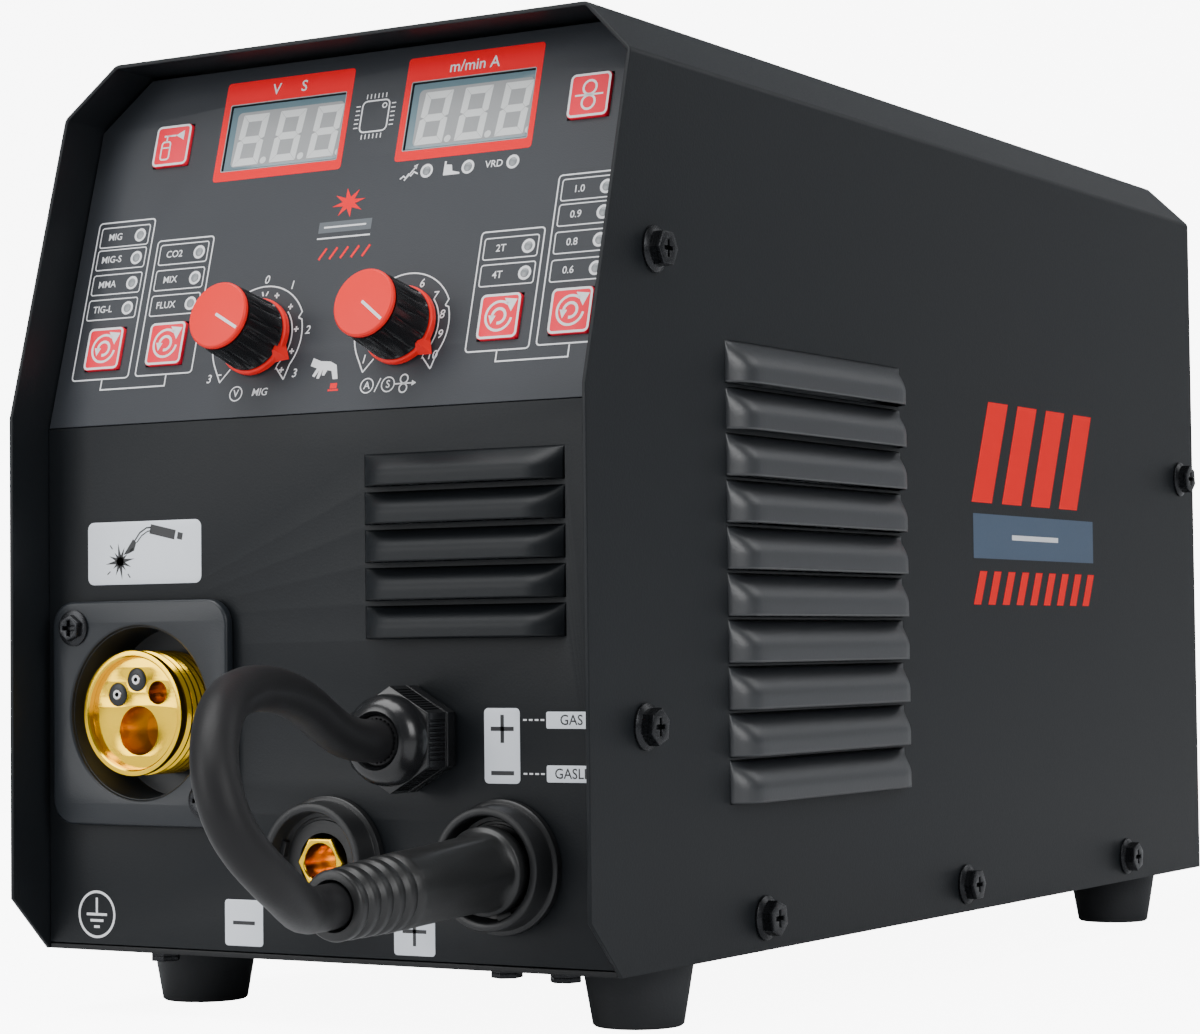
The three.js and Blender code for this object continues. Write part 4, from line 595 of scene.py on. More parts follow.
def shifted(shapes, x, y, turn=0.0, scale=1.0):
    c, s = math.cos(turn) * scale, math.sin(turn) * scale
    return [([(x + c * u - s * v, y + s * u + c * v) for u, v in points], faces) for points, faces in shapes]


def printed(name, shapes, placing, lift, material, slot, body="case"):
    """Ink shapes laid flat on a face, lift above it."""
    points, faces = [], []
    for spots, parts in shapes:
        base = len(points)
        points += [(x, y, lift) for x, y in spots]
        faces += [tuple(base + i for i in part) for part in parts]
    mesh = bpy.data.meshes.new(name)
    mesh.from_pydata(points, [], faces)
    mesh.transform(placing)
    piece = bpy.data.objects.new(name, mesh)
    bpy.context.collection.objects.link(piece)
    return seat(piece, body, slot, material)


film_outline = [(-FACE_HALF, 0), (FACE_HALF, 0), (FACE_HALF, FACE_SHOULDER), (FACE_RIDGE, FACE_TOP),
                (-FACE_RIDGE, FACE_TOP), (-FACE_HALF, FACE_SHOULDER)]
film_holes = [round_path(*place, 3.8, 20) for place in KNOB_PLACES.values()]
film_holes += [centred_rectangle(place, BUTTON + 0.25, BUTTON + 0.25) for place in BUTTON_PLACES.values()]
film_holes += [centred_rectangle(place, *DISPLAY_WINDOW) for place in DISPLAY_PLACES.values()]
film = plate("control_film", film_outline, film_holes, -0.9, 0, FACE, 0.12)
seat(film, "case", "graphic_face", face_film, "control_overlay")
back_sheet = plate("control_sheet", film_outline, film_holes, -2.7, -1.2, FACE)
seat(back_sheet, "case", "powder_coat", powder_coat)

white, red, grey = [], [], []

# Selector boxes: an outer box per column, a small box for each lamp row, and a bracket.
LAMP_COLUMNS = [{"box": (-87, -66.7, 13.8, 61.6), "lamp_x": -71.4,
                 "rows": [("MIG", 57), ("MIG-S", 50.1), ("MMA", 42.5), ("TIG-L", 34.9)]},
                {"box": (-64.2, -44.3, 14, 54.4), "lamp_x": -48.8,
                 "rows": [("CO2", 50), ("MIX", 42.3), ("FLUX", 34.7)]},
                {"box": (46.1, 65.7, 14.2, 47.7), "lamp_x": 61.2, "rows": [("2T", 42.8), ("4T", 35.3)]},
                {"box": (67.9, 88.2, 14.8, 61.9), "lamp_x": 82.8,
                 "rows": [("1.0", 57.6), ("0.9", 50.5), ("0.8", 42.8), ("0.6", 35)]},]
lamps = []
for column in LAMP_COLUMNS:
    x0, x1, s0, s1 = column["box"]
    white.append(stroke(soft_rectangle(x0, x1, s0, s1, 1.0, 3), LINE, closed=True))
    for words, s in column["rows"]:
        white.append(stroke(soft_rectangle(x0 + 1.3, x1 - 1.5, s - 3.0, s + 3.0, 0.7, 3), 0.34, closed=True))
        white.append(lettering(words, x0 + 6.6, s, 2.1))
        lamps.append((column["lamp_x"], s))
for left, right_x, low in [(-76, -53.1, 13.9), (56, 78, 14.4)]:
    white.append(stroke([(left, low), (left, low - 3.3), (right_x, low - 3.3), (right_x, low)]))

# Lamps under the right display, with their pictograms: wave, ramp and voltage guard.
lamps += [(25, 67.4), (38.3, 67.3), (52.5, 67.4)]
white.append(stroke([(16.6, 65.7), (17.6, 66.5), (18.4, 65.9), (19.2, 67), (20, 66.4), (20.9, 67.5),
                     (22.2, 66.8)], 0.4))
white.append(stroke([(18, 65.2), (21.6, 69.2)], 0.4))
white.append(filled([(21.9, 69.7), (20.6, 69.2), (21.5, 68.2)]))
white.append(filled([(30.6, 69.6), (31.2, 69.6), (31.2, 68.6), (33, 68.4), (33.4, 66.6), (35.8, 66),
                     (35.8, 65.5), (30.6, 65.5)]))
white.append(lettering("VRD", 46.6, 67.3, 2.1))
for x, s in lamps:
    white.append(ring(x, s, 2.0, 1.3))

# Processor pictogram between the displays: a rounded chip with pins on four sides.
white.append(stroke(soft_rectangle(0.2, 9.2, 81.0, 90.2, 1.5, 4), 0.45, closed=True))
white.append(ring(7.6, 88.5, 0.85, 0.5, 16))
for k in range(6):
    step = 1.5 + 1.28 * k
    white += [stroke([(0.2 + step - 0.4, 90.9), (0.2 + step - 0.4, 92.3)], 0.32),
              stroke([(0.2 + step - 0.4, 80.3), (0.2 + step - 0.4, 78.9)], 0.32)]
    white += [stroke([(-0.5, 81.0 + step), (-1.9, 81.0 + step)], 0.32),
              stroke([(9.9, 81.0 + step), (11.3, 81.0 + step)], 0.32)]

# A plain spark burst over a grey bar in the middle of the face.
burst = []
for k in range(16):
    reach = 4.4 if k % 2 == 0 else 1.7
    burst.append((0.6 + 1.25 * reach * math.cos(math.pi * k / 8 + 0.2),
                  60.4 + reach * math.sin(math.pi * k / 8 + 0.2)))
red.append(filled(burst))
grey.append(filled(centred_rectangle((0.6, 53.6), 17.5, 3.2)))
white.append(stroke([(-6.4, 53.6), (7.6, 53.6)], 0.5))
white.append(stroke([(-8.2, 50.4), (9.4, 50.4)], 0.45))
for k in range(5):
    red.append(stroke([(-6.6 + 3.6 * k, 44.2), (-4.4 + 3.6 * k, 47.4)], 0.7))

# Dial scales. The left one runs from minus to plus around zero, the right from 1 to 10.
lx, ls = KNOB_PLACES["left"]
rx, rs = KNOB_PLACES["right"]


def dial_band(x, s):
    """The crescent outline round a knob, stepped in at the right and pointed at both ends."""
    band = arc(x, s, 15.2, 112, 27) + arc(x, s, 13.8, 23, 22,
                                          1) + arc(x, s, 14.6, 19, -34) + arc(x, s, 16.3, -48, -49, 1)
    band += arc(x, s, 11.9, -49, -50, 1) + arc(x, s, 11.3, -44, 40)
    tail = arc(x, s, 11.8, 228, 227, 1) + arc(x, s, 16.2, 228, 227, 1) + arc(x, s, 15.4, 208, 190)
    return [stroke(band, 0.4), stroke(tail, 0.4)]


white += dial_band(lx, ls) + dial_band(rx, rs)
for angle, out in ((72, 12.9), (43, 12.7), (9, 12.6), (-20, 12.9), (-45, 13.6)):
    x, s = lx + out * math.cos(math.radians(angle)), ls + out * math.sin(math.radians(angle))
    white += [stroke([(x - 0.8, s), (x + 0.8, s)], 0.45), stroke([(x, s - 0.8), (x, s + 0.8)], 0.45)]
white += [stroke([(-24.0, 36.2), (-23.5, 34.9)], 0.45), stroke([(-22.0, 36.2), (-22.6, 34.9)], 0.45)]
white.append(stroke([(-34.9, 12.6), (-33.5, 12.6)], 0.4))
for words, x, s in [("0", -23.1, 39.6), ("1", -14.1, 37.4), ("2", -6.4, 23.9), ("3", -8.6, 11.6),
                    ("3", -37.6, 11.5), ("6", 29.1, 34.7), ("7", 34.0, 30.8), ("8", 37.0, 25.4),
                    ("9", 37.3, 19.8), ("10", 35.7, 14.1), ("1", 13.8, 14.2)]:
    white.append(lettering(words, x, s, 2.5, 0.15))
white += [ring(-27.4, 6.8, 2.2, 1.85), lettering("V", -27.4, 6.8, 2.2),
          lettering("MIG", -19.4, 6.8, 2.2, 0.15)]
white += [ring(16.2, 6.7, 2.2, 1.85), lettering("A", 16.2, 6.7, 2.2),
          stroke([(18.9, 4.8), (20.4, 8.6)], 0.35), ring(23.0, 6.7, 2.2, 1.85),
          lettering("S", 23.0, 6.7, 2.2), stroke([(25.2, 6.7), (30.8, 6.7)], 0.4),
          ring(28.0, 8.0, 1.4, 1.0, 18), ring(28.0, 5.4, 1.4, 1.0, 18),
          filled([(30.6, 7.5), (32, 6.7), (30.6, 5.9)])]

# Hand pressing a key: a plain pictogram beside the right knob.
hand = [(-2.8, 15.6), (-0.2, 14.6), (3.0, 14.3), (5.2, 13.2), (6.2, 9.2), (4.6, 9.2), (3.8, 11.6),
        (2.4, 11.9), (1.6, 10.4), (0.8, 10.5), (0.9, 12.2), (0.0, 9.6), (-0.9, 9.7), (-0.3, 12.0),
        (-1.6, 10.1), (-2.4, 10.5), (-1.2, 12.6), (-3.4, 13.4)]
white.append(filled(hand))
red += [filled(centred_rectangle((5.2, 7.3), 2.2, 1.5)), filled(centred_rectangle((5.2, 6.1), 3.4, 0.5))]

# Red surrounds of the two displays, with the unit letters above each window.
SURROUNDS = {"left": (-48.4, -4.2, 70.8, 101.0), "right": (13.7, 57.6, 71.0, 101.5)}
UNITS = {"left": [("V", -30.8), ("S", -21.2)], "right": [("m/min A", 35.6)]}
for key, (x0, x1, s0, s1) in SURROUNDS.items():
    window = centred_rectangle(DISPLAY_PLACES[key], *DISPLAY_WINDOW)
    red.append(filled(soft_rectangle(x0, x1, s0, s1, 1.0, 3), window))
    for words, x in UNITS[key]:
        white.append(lettering(words, x, 97.4, 3.4))

printed("ink_red", red, FACE, 0.03, red_ink, "red_plastic")
printed("ink_grey", grey, FACE, 0.03, grey_ink, "graphic_face")
printed("ink_white", white, FACE, 0.06, white_ink, "graphic_face")


# ---- Displays ------------------------------------------------------------------------
# Three-figure seven-segment modules behind smoked windows. The segments are unlit, so
# they show as pale diffusers on a blue-grey face.
DIGIT_HEIGHT, DIGIT_WIDTH, DIGIT_PITCH, SEGMENT, SEGMENT_GAP = 15.4, 9.0, 12.9, 2.15, 0.06
window_teal = made_of("window_teal", (0.13, 0.21, 0.25), (0.16, 0.25, 0.29), (0.2, 0.26), 500, 0.00001,
                      patch_size=90, coat=0.5, coat_roughness=0.05)
module_grey = made_of("module_grey", (0.30, 0.31, 0.315), (0.34, 0.35, 0.355), (0.3, 0.36), 500, 0.00001,
                      patch_size=160, coat=0.4)
segment_film = made_of("segment_film", (0.66, 0.68, 0.68), (0.74, 0.76, 0.75), (0.3, 0.36), 500, 0.00001,
                       patch_size=160, coat=0.4)


def figure_eight(x, s, lean=0.1):
    """All seven segments and the point of one digit, standing on (x, s)."""
    half_w, half_h, t, gap = DIGIT_WIDTH / 2, DIGIT_HEIGHT / 2, SEGMENT, SEGMENT_GAP
    bar = [(-half_w + gap, half_h), (half_w - gap, half_h), (half_w - t - gap, half_h - t),
           (-half_w + t + gap, half_h - t)]
    upright = [(half_w, half_h - gap), (half_w, 0.5), (half_w - t / 2, gap), (half_w - t, t / 2 + gap),
               (half_w - t, half_h - t - gap)]
    middle = [(-half_w + t / 2 + gap, 0), (-half_w + t + gap, t / 2), (half_w - t - gap, t / 2),
              (half_w - t / 2 - gap, 0), (half_w - t - gap, -t / 2), (-half_w + t + gap, -t / 2)]
    shapes = [middle, round_path(half_w + 1.6, -half_h + 1.0, 1.05, 16)]
    for flip in (1, -1):
        shapes.append([(u, flip * v) for u, v in bar])
        shapes += [[(side_flip * u, flip * v) for u, v in upright] for side_flip in (1, -1)]
    return [filled([(x + half_w + u + lean * v, s + half_h + v) for u, v in shape]) for shape in shapes]


for key, (x, s) in DISPLAY_PLACES.items():
    wide, tall = DISPLAY_WINDOW
    module = plate(f"display_{key}_window", centred_rectangle((x, s), wide - 0.6, tall - 0.6), [], -8.0,
                   -0.4, FACE, 0.2)
    seat(module, "case", "display", window_teal, f"display_{key}")
    face = soft_rectangle(x - wide / 2 + 2.6, x + wide / 2 - 0.35, s - tall / 2 + 1.1, s + tall / 2 - 2.3,
                          1.4, 4)
    printed(f"display_{key}_module", [filled(face)], FACE, -0.38, module_grey, "display")
    first = x - wide / 2 + 4.0
    segments = [shape for k in range(3) for shape in figure_eight(first + DIGIT_PITCH * k, s - 8.6)]
    printed(f"display_{key}_segments", segments, FACE, -0.34, segment_film, "display")
    rim = soft_rectangle(x - wide / 2 - 0.12, x + wide / 2 + 0.12, s - tall / 2 - 0.12, s + tall / 2 + 0.12,
                         0.3, 2)
    printed(f"display_{key}_rim", [stroke(rim, 0.3, closed=True)], FACE, 0.07, module_grey, "display")


# ---- Lamps ---------------------------------------------------------------------------
# Small domed light pipes of clear grey plastic, one in each printed ring.
lamp_plastic = made_of("lamp_plastic", (0.22, 0.24, 0.25), (0.27, 0.29, 0.30), (0.16, 0.22), 900, 0.00001,
                       patch_size=200)


def turned_piece(name, profile, placing, sides=64, ripple=None, ease=0.0, smooth_angle=35):
    """A turned shape from (radius, height) rows; ripple(row height, angle) pulls the wall in."""
    rows = rounded_corners(profile, ease, 3) if ease else profile
    points, faces, rings = [], [], []
    for r, z in rows:
        if r < 1e-6:
            rings.append([len(points)])
            points.append((0, 0, z))
            continue
        rings.append(list(range(len(points), len(points) + sides)))
        for i in range(sides):
            angle = 2 * math.pi * i / sides
            wall = r - (ripple(r, z, angle) if ripple else 0)
            points.append((wall * math.cos(angle), wall * math.sin(angle), z))
    for low, high in zip(rings, rings[1:]):
        for i in range(sides):
            j = (i + 1) % sides
            if len(low) == 1 and len(high) == 1:
                break
            if len(low) == 1:
                faces.append((low[0], high[j], high[i]))
            elif len(high) == 1:
                faces.append((low[i], low[j], high[0]))
            else:
                faces.append((low[i], low[j], high[j], high[i]))
    return piece_from(name, points, faces, placing, smooth_angle)


def gathered(name, pieces):
    """Joins like pieces into one."""
    merged = bmesh.new()
    for piece in pieces:
        merged.from_mesh(piece.data)
        old = piece.data
        bpy.data.objects.remove(piece)
        bpy.data.meshes.remove(old)
    mesh = bpy.data.meshes.new(name)
    merged.to_mesh(mesh)
    merged.free()
    mesh.polygons.foreach_set("use_smooth", [True] * len(mesh.polygons))
    mesh.set_sharp_from_angle(angle=math.radians(40))
    whole = bpy.data.objects.new(name, mesh)
    bpy.context.collection.objects.link(whole)
    return whole


domes = [turned_piece(f"lamp_{k}", [(1.3, 0.02), (1.2, 0.2), (0.7, 0.32), (0, 0.36)],
                      FACE @ Matrix.Translation((x, s, 0)), 20) for k, (x, s) in enumerate(lamps)]
seat(gathered("lamps", domes), "case", "display", lamp_plastic)


# ---- Push buttons --------------------------------------------------------------------
# Six square red keys with a white edge line and a pictogram. Each slides in by 1 mm.
key_red = made_of("key_red", (0.95, 0.010, 0.040), (0.98, 0.014, 0.050), (0.34, 0.40), 1100, 0.00001,
                  patch_size=80, specular=0.3)


def renew_arrows():
    """Round arrow with a smaller turned-back arrow inside it."""
    return [stroke(arc(0, 0, 4.0, 52, 350, 40), 0.7), filled([(1.2, 4.9), (5.2, 4.4), (3.6, 1.0)]),
            stroke(arc(0, 0, 2.0, -100, 190, 28), 0.8), filled([(-3.2, 0.3), (-0.9, 0.1), (-2.2, -2.2)])]


KEY_PICTURES = {
    "gas_test": [stroke(soft_rectangle(-3.6, -0.6, -4.2, 1.2, 0.8, 3), 0.5, closed=True),
                 stroke([(-2.1, 1.2), (-2.1, 3.0), (1.0, 3.0)], 0.5), stroke([(-3.2, 3.0), (-1.0, 3.0)], 0.5),
                 filled([(1.0, 3.0), (3.9, 4.4), (3.9, 1.4)]), stroke([(-3.6, -0.6), (-0.6, -0.6)], 0.4)],
    "wire_inch": [ring(0, 2.1, 2.3, 1.65), ring(0, -2.1, 2.3, 1.65), stroke([(-4.3, 0), (4.3, 0)], 0.5)],
}
for key, (x, s) in BUTTON_PLACES.items():
    place = FACE @ Matrix.Translation((x, s, 0))
    half = BUTTON / 2
    cap = plate(f"key_{key}", soft_rectangle(-half, half, -half, half, 1.4, 5), [], -2.5, 0.9, place, 0.35)
    seat(cap, f"button_{key}", "red_plastic", key_red, f"button_{key}")
    picture = list(KEY_PICTURES.get(key, renew_arrows()))
    picture.append(stroke(soft_rectangle(-half + 0.45, half - 0.45, -half + 0.45, half - 0.45, 1.2, 5),
                          0.65, closed=True))
    printed(f"key_{key}_ink", picture, place, 0.925, white_ink, "graphic_face", f"button_{key}")


# ---- Knobs ---------------------------------------------------------------------------
# Black moulded bodies with shallow flutes, a red cap with a white line on top and a red
# ring with a raised pointer below. They press on the potentiometers' shafts.
knob_black = made_of("knob_black", (0.006, 0.006, 0.007), (0.008, 0.008, 0.009), (0.24, 0.28), 900, 0.00001,
                     patch_size=80, specular=0.5)
cap_red = made_of("cap_red", (0.95, 0.016, 0.012), (0.98, 0.022, 0.017), (0.34, 0.40), 1200, 0.00001,
                  patch_size=70, specular=0.2)
FLUTES = 14
POINTER_TURN = {"left": -29.5, "right": -37.5}


def flute(r, z, angle):
    if r < 8.9 or z < 3.6 or z > 16.6:
        return 0.0
    return 0.55 * max(0.0, math.cos(FLUTES * angle)) ** 2


for key, (x, s) in KNOB_PLACES.items():
    place = FACE @ Matrix.Translation((x, s, 0))
    body = turned_piece(f"knob_{key}_black", [(3.3, 3.1), (10.3, 3.1), (10.3, 3.5), (10.27, 3.7),
                                              (9.95, 9.0), (9.6, 16.5), (9.55, 16.7), (9.5, 17.1),
                                              (0, 17.1)], place, 112, flute, smooth_angle=40)
    seat(body, f"knob_{key}", "black_plastic", knob_black, f"knob_{key}_body")
    cap = turned_piece(f"knob_{key}_red_cap", [(0, 17.35), (9.4, 17.35), (9.4, 18.5), (8.95, 19.0),
                                               (0, 19.0)], place, 72, ease=0.35)
    seat(cap, f"knob_{key}", "red_plastic", cap_red, f"knob_{key}_cap")
    line = [filled(soft_rectangle(-0.4, 8.4, -0.42, 0.42, 0.2, 2))]
    printed(f"knob_{key}_line", shifted(line, 0, 0, math.radians(POINTER_TURN[key])), place, 19.03,
            white_ink, "graphic_face", f"knob_{key}")
    skirt = turned_piece(f"knob_{key}_skirt", [(5.6, 0.7), (10.9, 0.7), (10.9, 2.4), (10.6, 2.8),
                                               (5.6, 2.8), (5.6, 0.7)], place, 72, ease=0.2)
    turn = Matrix.Rotation(math.radians(POINTER_TURN[key]), 4, "Z")
    wedge_points = [(8.5, -4.2, 0.7), (14.0, 0, 0.7), (8.5, 4.2, 0.7), (10.55, 0, 4.4), (8.5, -3.2, 2.8),
                    (8.5, 3.2, 2.8), (13.7, 0, 1.8)]
    wedge_faces = [(0, 2, 1), (0, 1, 6, 3, 4), (2, 5, 3, 6, 1), (0, 4, 5, 2), (4, 3, 5)]
    wedge = piece_from(f"knob_{key}_wedge", wedge_points, wedge_faces, place @ turn, 30)
    seat(gathered(f"knob_{key}_ring", [skirt, wedge]), f"knob_{key}", "red_plastic", cap_red,
         f"knob_{key}_pointer")


# ---- Labels on the lower front -------------------------------------------------------
# Thin pale vinyl stickers with dark pictograms: torch and spark over the torch socket,
# pole signs by the sockets, and the two polarity choices of the lead.
vinyl = made_of("label_vinyl", (0.74, 0.78, 0.84), (0.80, 0.84, 0.89), (0.38, 0.46), 1800, 0.000012,
                patch_size=40)
dark_ink = made_of("dark_ink", (0.012, 0.013, 0.015), (0.018, 0.019, 0.021), (0.4, 0.5), 1500, 0.00001)
LABEL = 0.12
labels = [
    plate("label_torch", soft_rectangle(-78.1, -38.2, 101.4, 118.8, 2.0, 5), [], 0, LABEL, FRONT, 0.03),
    plate("label_minus", soft_rectangle(-30.7, -17.9, 3.3, 15.7, 1.0, 4), [], 0, LABEL, FRONT, 0.03),
    plate("label_plus", soft_rectangle(24.8, 37.7, 3.0, 15.5, 1.0, 4), [], 0, LABEL, FRONT, 0.03),
    plate("label_poles", soft_rectangle(53.5, 64.3, 48.0, 67.3, 1.2, 4), [], 0, LABEL, FRONT, 0.03),
    plate("label_gas", soft_rectangle(72.3, 89.5, 62.1, 66.4, 0.5, 3), [], 0, LABEL, FRONT, 0.03),
    plate("label_gasless", soft_rectangle(72.3, 90.5, 48.5, 52.8, 0.5, 3), [], 0, LABEL, FRONT, 0.03),
]
seat(gathered("labels", labels), "case", "graphic_face", vinyl)

signs = [stroke([(-28, 9.5), (-20.6, 9.5)], 1.0), stroke([(27.5, 9.3), (35, 9.3)], 1.0),
         stroke([(31.25, 5.5), (31.25, 13.1)], 1.0)]
signs += [stroke([(55.5, 62), (62.5, 62)], 1.1), stroke([(59, 58.4), (59, 65.6)], 1.1),
          stroke([(55.5, 50.7), (62.5, 50.7)], 1.1)]
signs += [lettering("GAS", 79.8, 64.2, 2.7), lettering("GASLESS", 81.6, 50.6, 2.7)]
spark_at = (-66.6, 107.8)
for k in range(12):
    turn = math.radians(30 * k + 8)
    reach = (5.2, 3.2, 4.2)[k % 3]
    tip = (spark_at[0] + reach * math.cos(turn), spark_at[1] + reach * math.sin(turn))
    wide = [(spark_at[0] + 0.75 * math.cos(turn + a), spark_at[1] + 0.75 * math.sin(turn + a))
            for a in (-1.57, 1.57)]
    signs.append(filled([wide[0], tip, wide[1]]))
    if k % 3 == 1:
        near, far = 4.4, 5.8
        signs.append(stroke([(spark_at[0] + near * math.cos(turn), spark_at[1] + near * math.sin(turn)),
                             (spark_at[0] + far * math.cos(turn), spark_at[1] + far * math.sin(turn))], 0.35))
signs.append(filled([(-65.4, 109.6), (-62.0, 113.9), (-60.8, 113.0), (-61.6, 110.7), (-63.6, 109.9)]))
signs.append(stroke([(-61.4, 113.4), (-59.6, 115.6), (-57.2, 116.9), (-55.6, 117.0)], 0.45))
signs.append(stroke([(-60.7, 112.9), (-58.9, 114.8), (-56.9, 115.9), (-55.6, 116.1)], 0.35))
signs.append(filled([(-55.6, 117.9), (-46.9, 116.0), (-47.5, 113.4), (-56.2, 115.3)]))
signs.append(filled([(-46.2, 115.5), (-44.4, 115.1), (-44.8, 113.2), (-46.6, 113.6)]))
printed("label_signs", signs, FRONT, LABEL + 0.02, dark_ink, "graphic_face")

marks = []
for z in (64.3, 50.6):
    marks += [stroke([(65.3 + 1.75 * k, z), (66.4 + 1.75 * k, z)], 0.45) for k in range(4)]
earth = (-75.6, 10.0)
marks += [ring(*earth, 6.6, 5.9, 40), stroke([(earth[0], earth[1] + 4.6), (earth[0], earth[1] + 0.3)], 0.7)]
marks += [stroke([(earth[0] - w, earth[1] + z), (earth[0] + w, earth[1] + z)], 0.7) for w,
          z in ((3.6, 0.0), (2.3, -1.7), (1.0, -3.4))]
printed("front_marks", marks, FRONT, 0.03, white_ink, "graphic_face")


# ---- Screws --------------------------------------------------------------------------
# Black flanged hexagon screws with a cross recess close the cover, and smaller pan head
# ones hold the torch flange.
screw_black = made_of("screw_black", (0.012, 0.013, 0.015), (0.022, 0.023, 0.026), (0.22, 0.34), 2600,
                      0.00002, patch_size=120, metallic=0.6)


def cross_path(x, y, arm, width):
    w = width / 2
    return [(x + u, y + v) for u, v in [(arm, -w), (arm, w), (w, w), (w, arm), (-w, arm), (-w, w),
                                        (-arm, w), (-arm, -w), (-w, -w), (-w, -arm), (w, -arm), (w, -w)]]


def flanged_screw(name, placing, head=4.9, flange=6.1, rise=4.6, turn=0.2):
    """Washer flange, hexagon head with eased corners, and a real cross recess in its top."""
    washer = turned_piece(name + "_w", [(0, 0), (flange, 0), (flange, 0.7), (head - 0.2, 1.5), (0, 1.5)],
                          placing, 40, ease=0.2)
    low = plate(name + "_l", round_path(0, 0, head, 6, turn), [], 1.2, rise - 1.5, placing)
    top = plate(name + "_t", round_path(0, 0, head, 6, turn), [cross_path(0, 0, 2.3, 1.1)], rise - 1.6,
                rise, placing, 0.3)
    return [washer, low, top]


SIDE = case_placing(side, 0, 0) @ side_turn
side_screws = []
for k, (y, z) in enumerate([(34.5, 184.8), (27.5, 62.3), (90.8, 8.9), (222.5, 8.5), (355.9, 8.5),
                            (414.7, 140.9)]):
    side_screws += flanged_screw(f"side_screw_{k}", SIDE @ Matrix.Translation((y, z, 0)), turn=0.35 * k)
seat(gathered("side_screws", side_screws), "case", "steel", screw_black)
LEFT = case_placing(-side, 0, 0) @ Matrix(((0, 0, -1, 0), (-1, 0, 0, 0), (0, 1, 0, 0), (0, 0, 0, 1)))
left_screws = []
for k, (y, z) in enumerate([(34.5, 184.8), (27.5, 62.3), (90.8, 8.9), (222.5, 8.5), (355.9, 8.5),
                            (418.0, 120.0)]):
    left_screws += flanged_screw(f"left_screw_{k}", LEFT @ Matrix.Translation((-y, z, 0)), turn=0.35 * k)
seat(gathered("left_screws", left_screws), "case", "steel", screw_black)


# ---- Side graphics -------------------------------------------------------------------
# Plain screen-printed stripes behind the louvers: red slanted bars, a slate bar and a
# red rule. They carry no words.
slate_ink = made_of("slate_ink", (0.045, 0.080, 0.135), (0.055, 0.092, 0.155), (0.4, 0.5), 1500, 0.00001)
side_red = made_of("side_red_ink", (0.97, 0.003, 0.003), (0.99, 0.004, 0.004), (0.5, 0.58), 1500, 0.00001,
                   patch_size=60, specular=0.15)
bars = []
for k in range(4):
    y = 231 + 23.4 * k
    bars.append(filled([(y, 126.5), (y + 15.5, 126.5), (y + 29.5, 158.5), (y + 14, 158.5)]))
for k in range(9):
    bars.append(filled([(231.5 + 11.1 * k, 94.5), (237 + 11.1 * k, 94.5), (242.2 + 11.1 * k, 105),
                        (236.7 + 11.1 * k, 105)]))
printed("side_bars", bars, SIDE, 0.05, side_red, "graphic_face")
printed("side_slate_bar", [filled([(232, 109), (330.5, 109), (330.5, 123), (232, 123)])], SIDE, 0.05,
        slate_ink, "graphic_face")
printed("side_rule", [stroke([(262, 116), (300, 116)], 1.6)], SIDE, 0.08, white_ink, "graphic_face")


# ---- Torch connector -----------------------------------------------------------------
# A glass-filled nylon plate with a deep round cup, screwed at two corners, and a turned
# brass body in the cup with a thread, a wire hole, a gas hole and two sleeved contacts.
BRASS_PLACE = FRONT @ Matrix.Translation((*EURO_PLACE, 0))
flange_nylon = made_of("flange_nylon", (0.010, 0.0125, 0.016), (0.014, 0.017, 0.021), (0.34, 0.44), 2200,
                       0.00003, patch_size=30, specular=0.4)
brass = made_of("turned_brass", (0.92, 0.57, 0.018), (0.95, 0.61, 0.026), (0.12, 0.22), 2600, 0.000008,
                patch_size=90, metallic=1.0)
# The hole floor is the same brass, rougher for the drilled surface and darker as painted shade inside the
# holes.
shaded_hole_brass = made_of("hole_floor_painted_shade_brass", (0.42, 0.24, 0.03), (0.50, 0.30, 0.05), (0.3, 0.42), 2600, 0.00001,
                     patch_size=90, metallic=1.0)
flange = plate("torch_flange", soft_rectangle(-30.6, 30.6, -30.9, 30.9, 7, 8), [round_path(0, 0, 23.9, 72)],
               0.3, 3.5, BRASS_PLACE, 0.8)
cup = turned_piece("torch_cup", [(10.8, -15.5), (25.5, -15.5), (25.5, 0.6), (24.4, 1.6), (23.6, 2.9),
                                 (23.6, -14.0), (10.8, -14.0)], BRASS_PLACE, 96, ease=0.25)
seat(gathered("torch_plate", [flange, cup]), "case", "black_plastic", flange_nylon, "euro_flange")
collar = [(17.1, 6), (16.7, 6.1), (15.9, 6.1), (15.5, 5.7), (15.5, 4)]
thread = [(10.5, -46), (10.5, -13.7), (16.2, -13.7)]
for k in range(6):
    z = -11.5 + 2.35 * k
    thread += [(16.2, z), (17.1, z + 0.7), (17.1, z + 1.3), (16.2, z + 2.0)]
thread += [(16.2, 3.6), (17.1, 4.2)]
barrel = turned_piece("torch_barrel", thread + collar, BRASS_PLACE, 96, smooth_angle=30)
HOLES = {"wire": (0.6, -4.8, 6.7), "left": (-6.7, 5.1, 3.15), "middle": (0.0, 9.2, 3.15),
         "gas": (7.2, 5.6, 3.15)}
drilled = plate("torch_face", round_path(0, 0, 15.6, 72),
                [round_path(*hole, 40) for hole in HOLES.values()], -8, 4.0, BRASS_PLACE, 0.18)
seat(gathered("torch_brass", [barrel, drilled]), "case", "brass", brass, "euro_body")
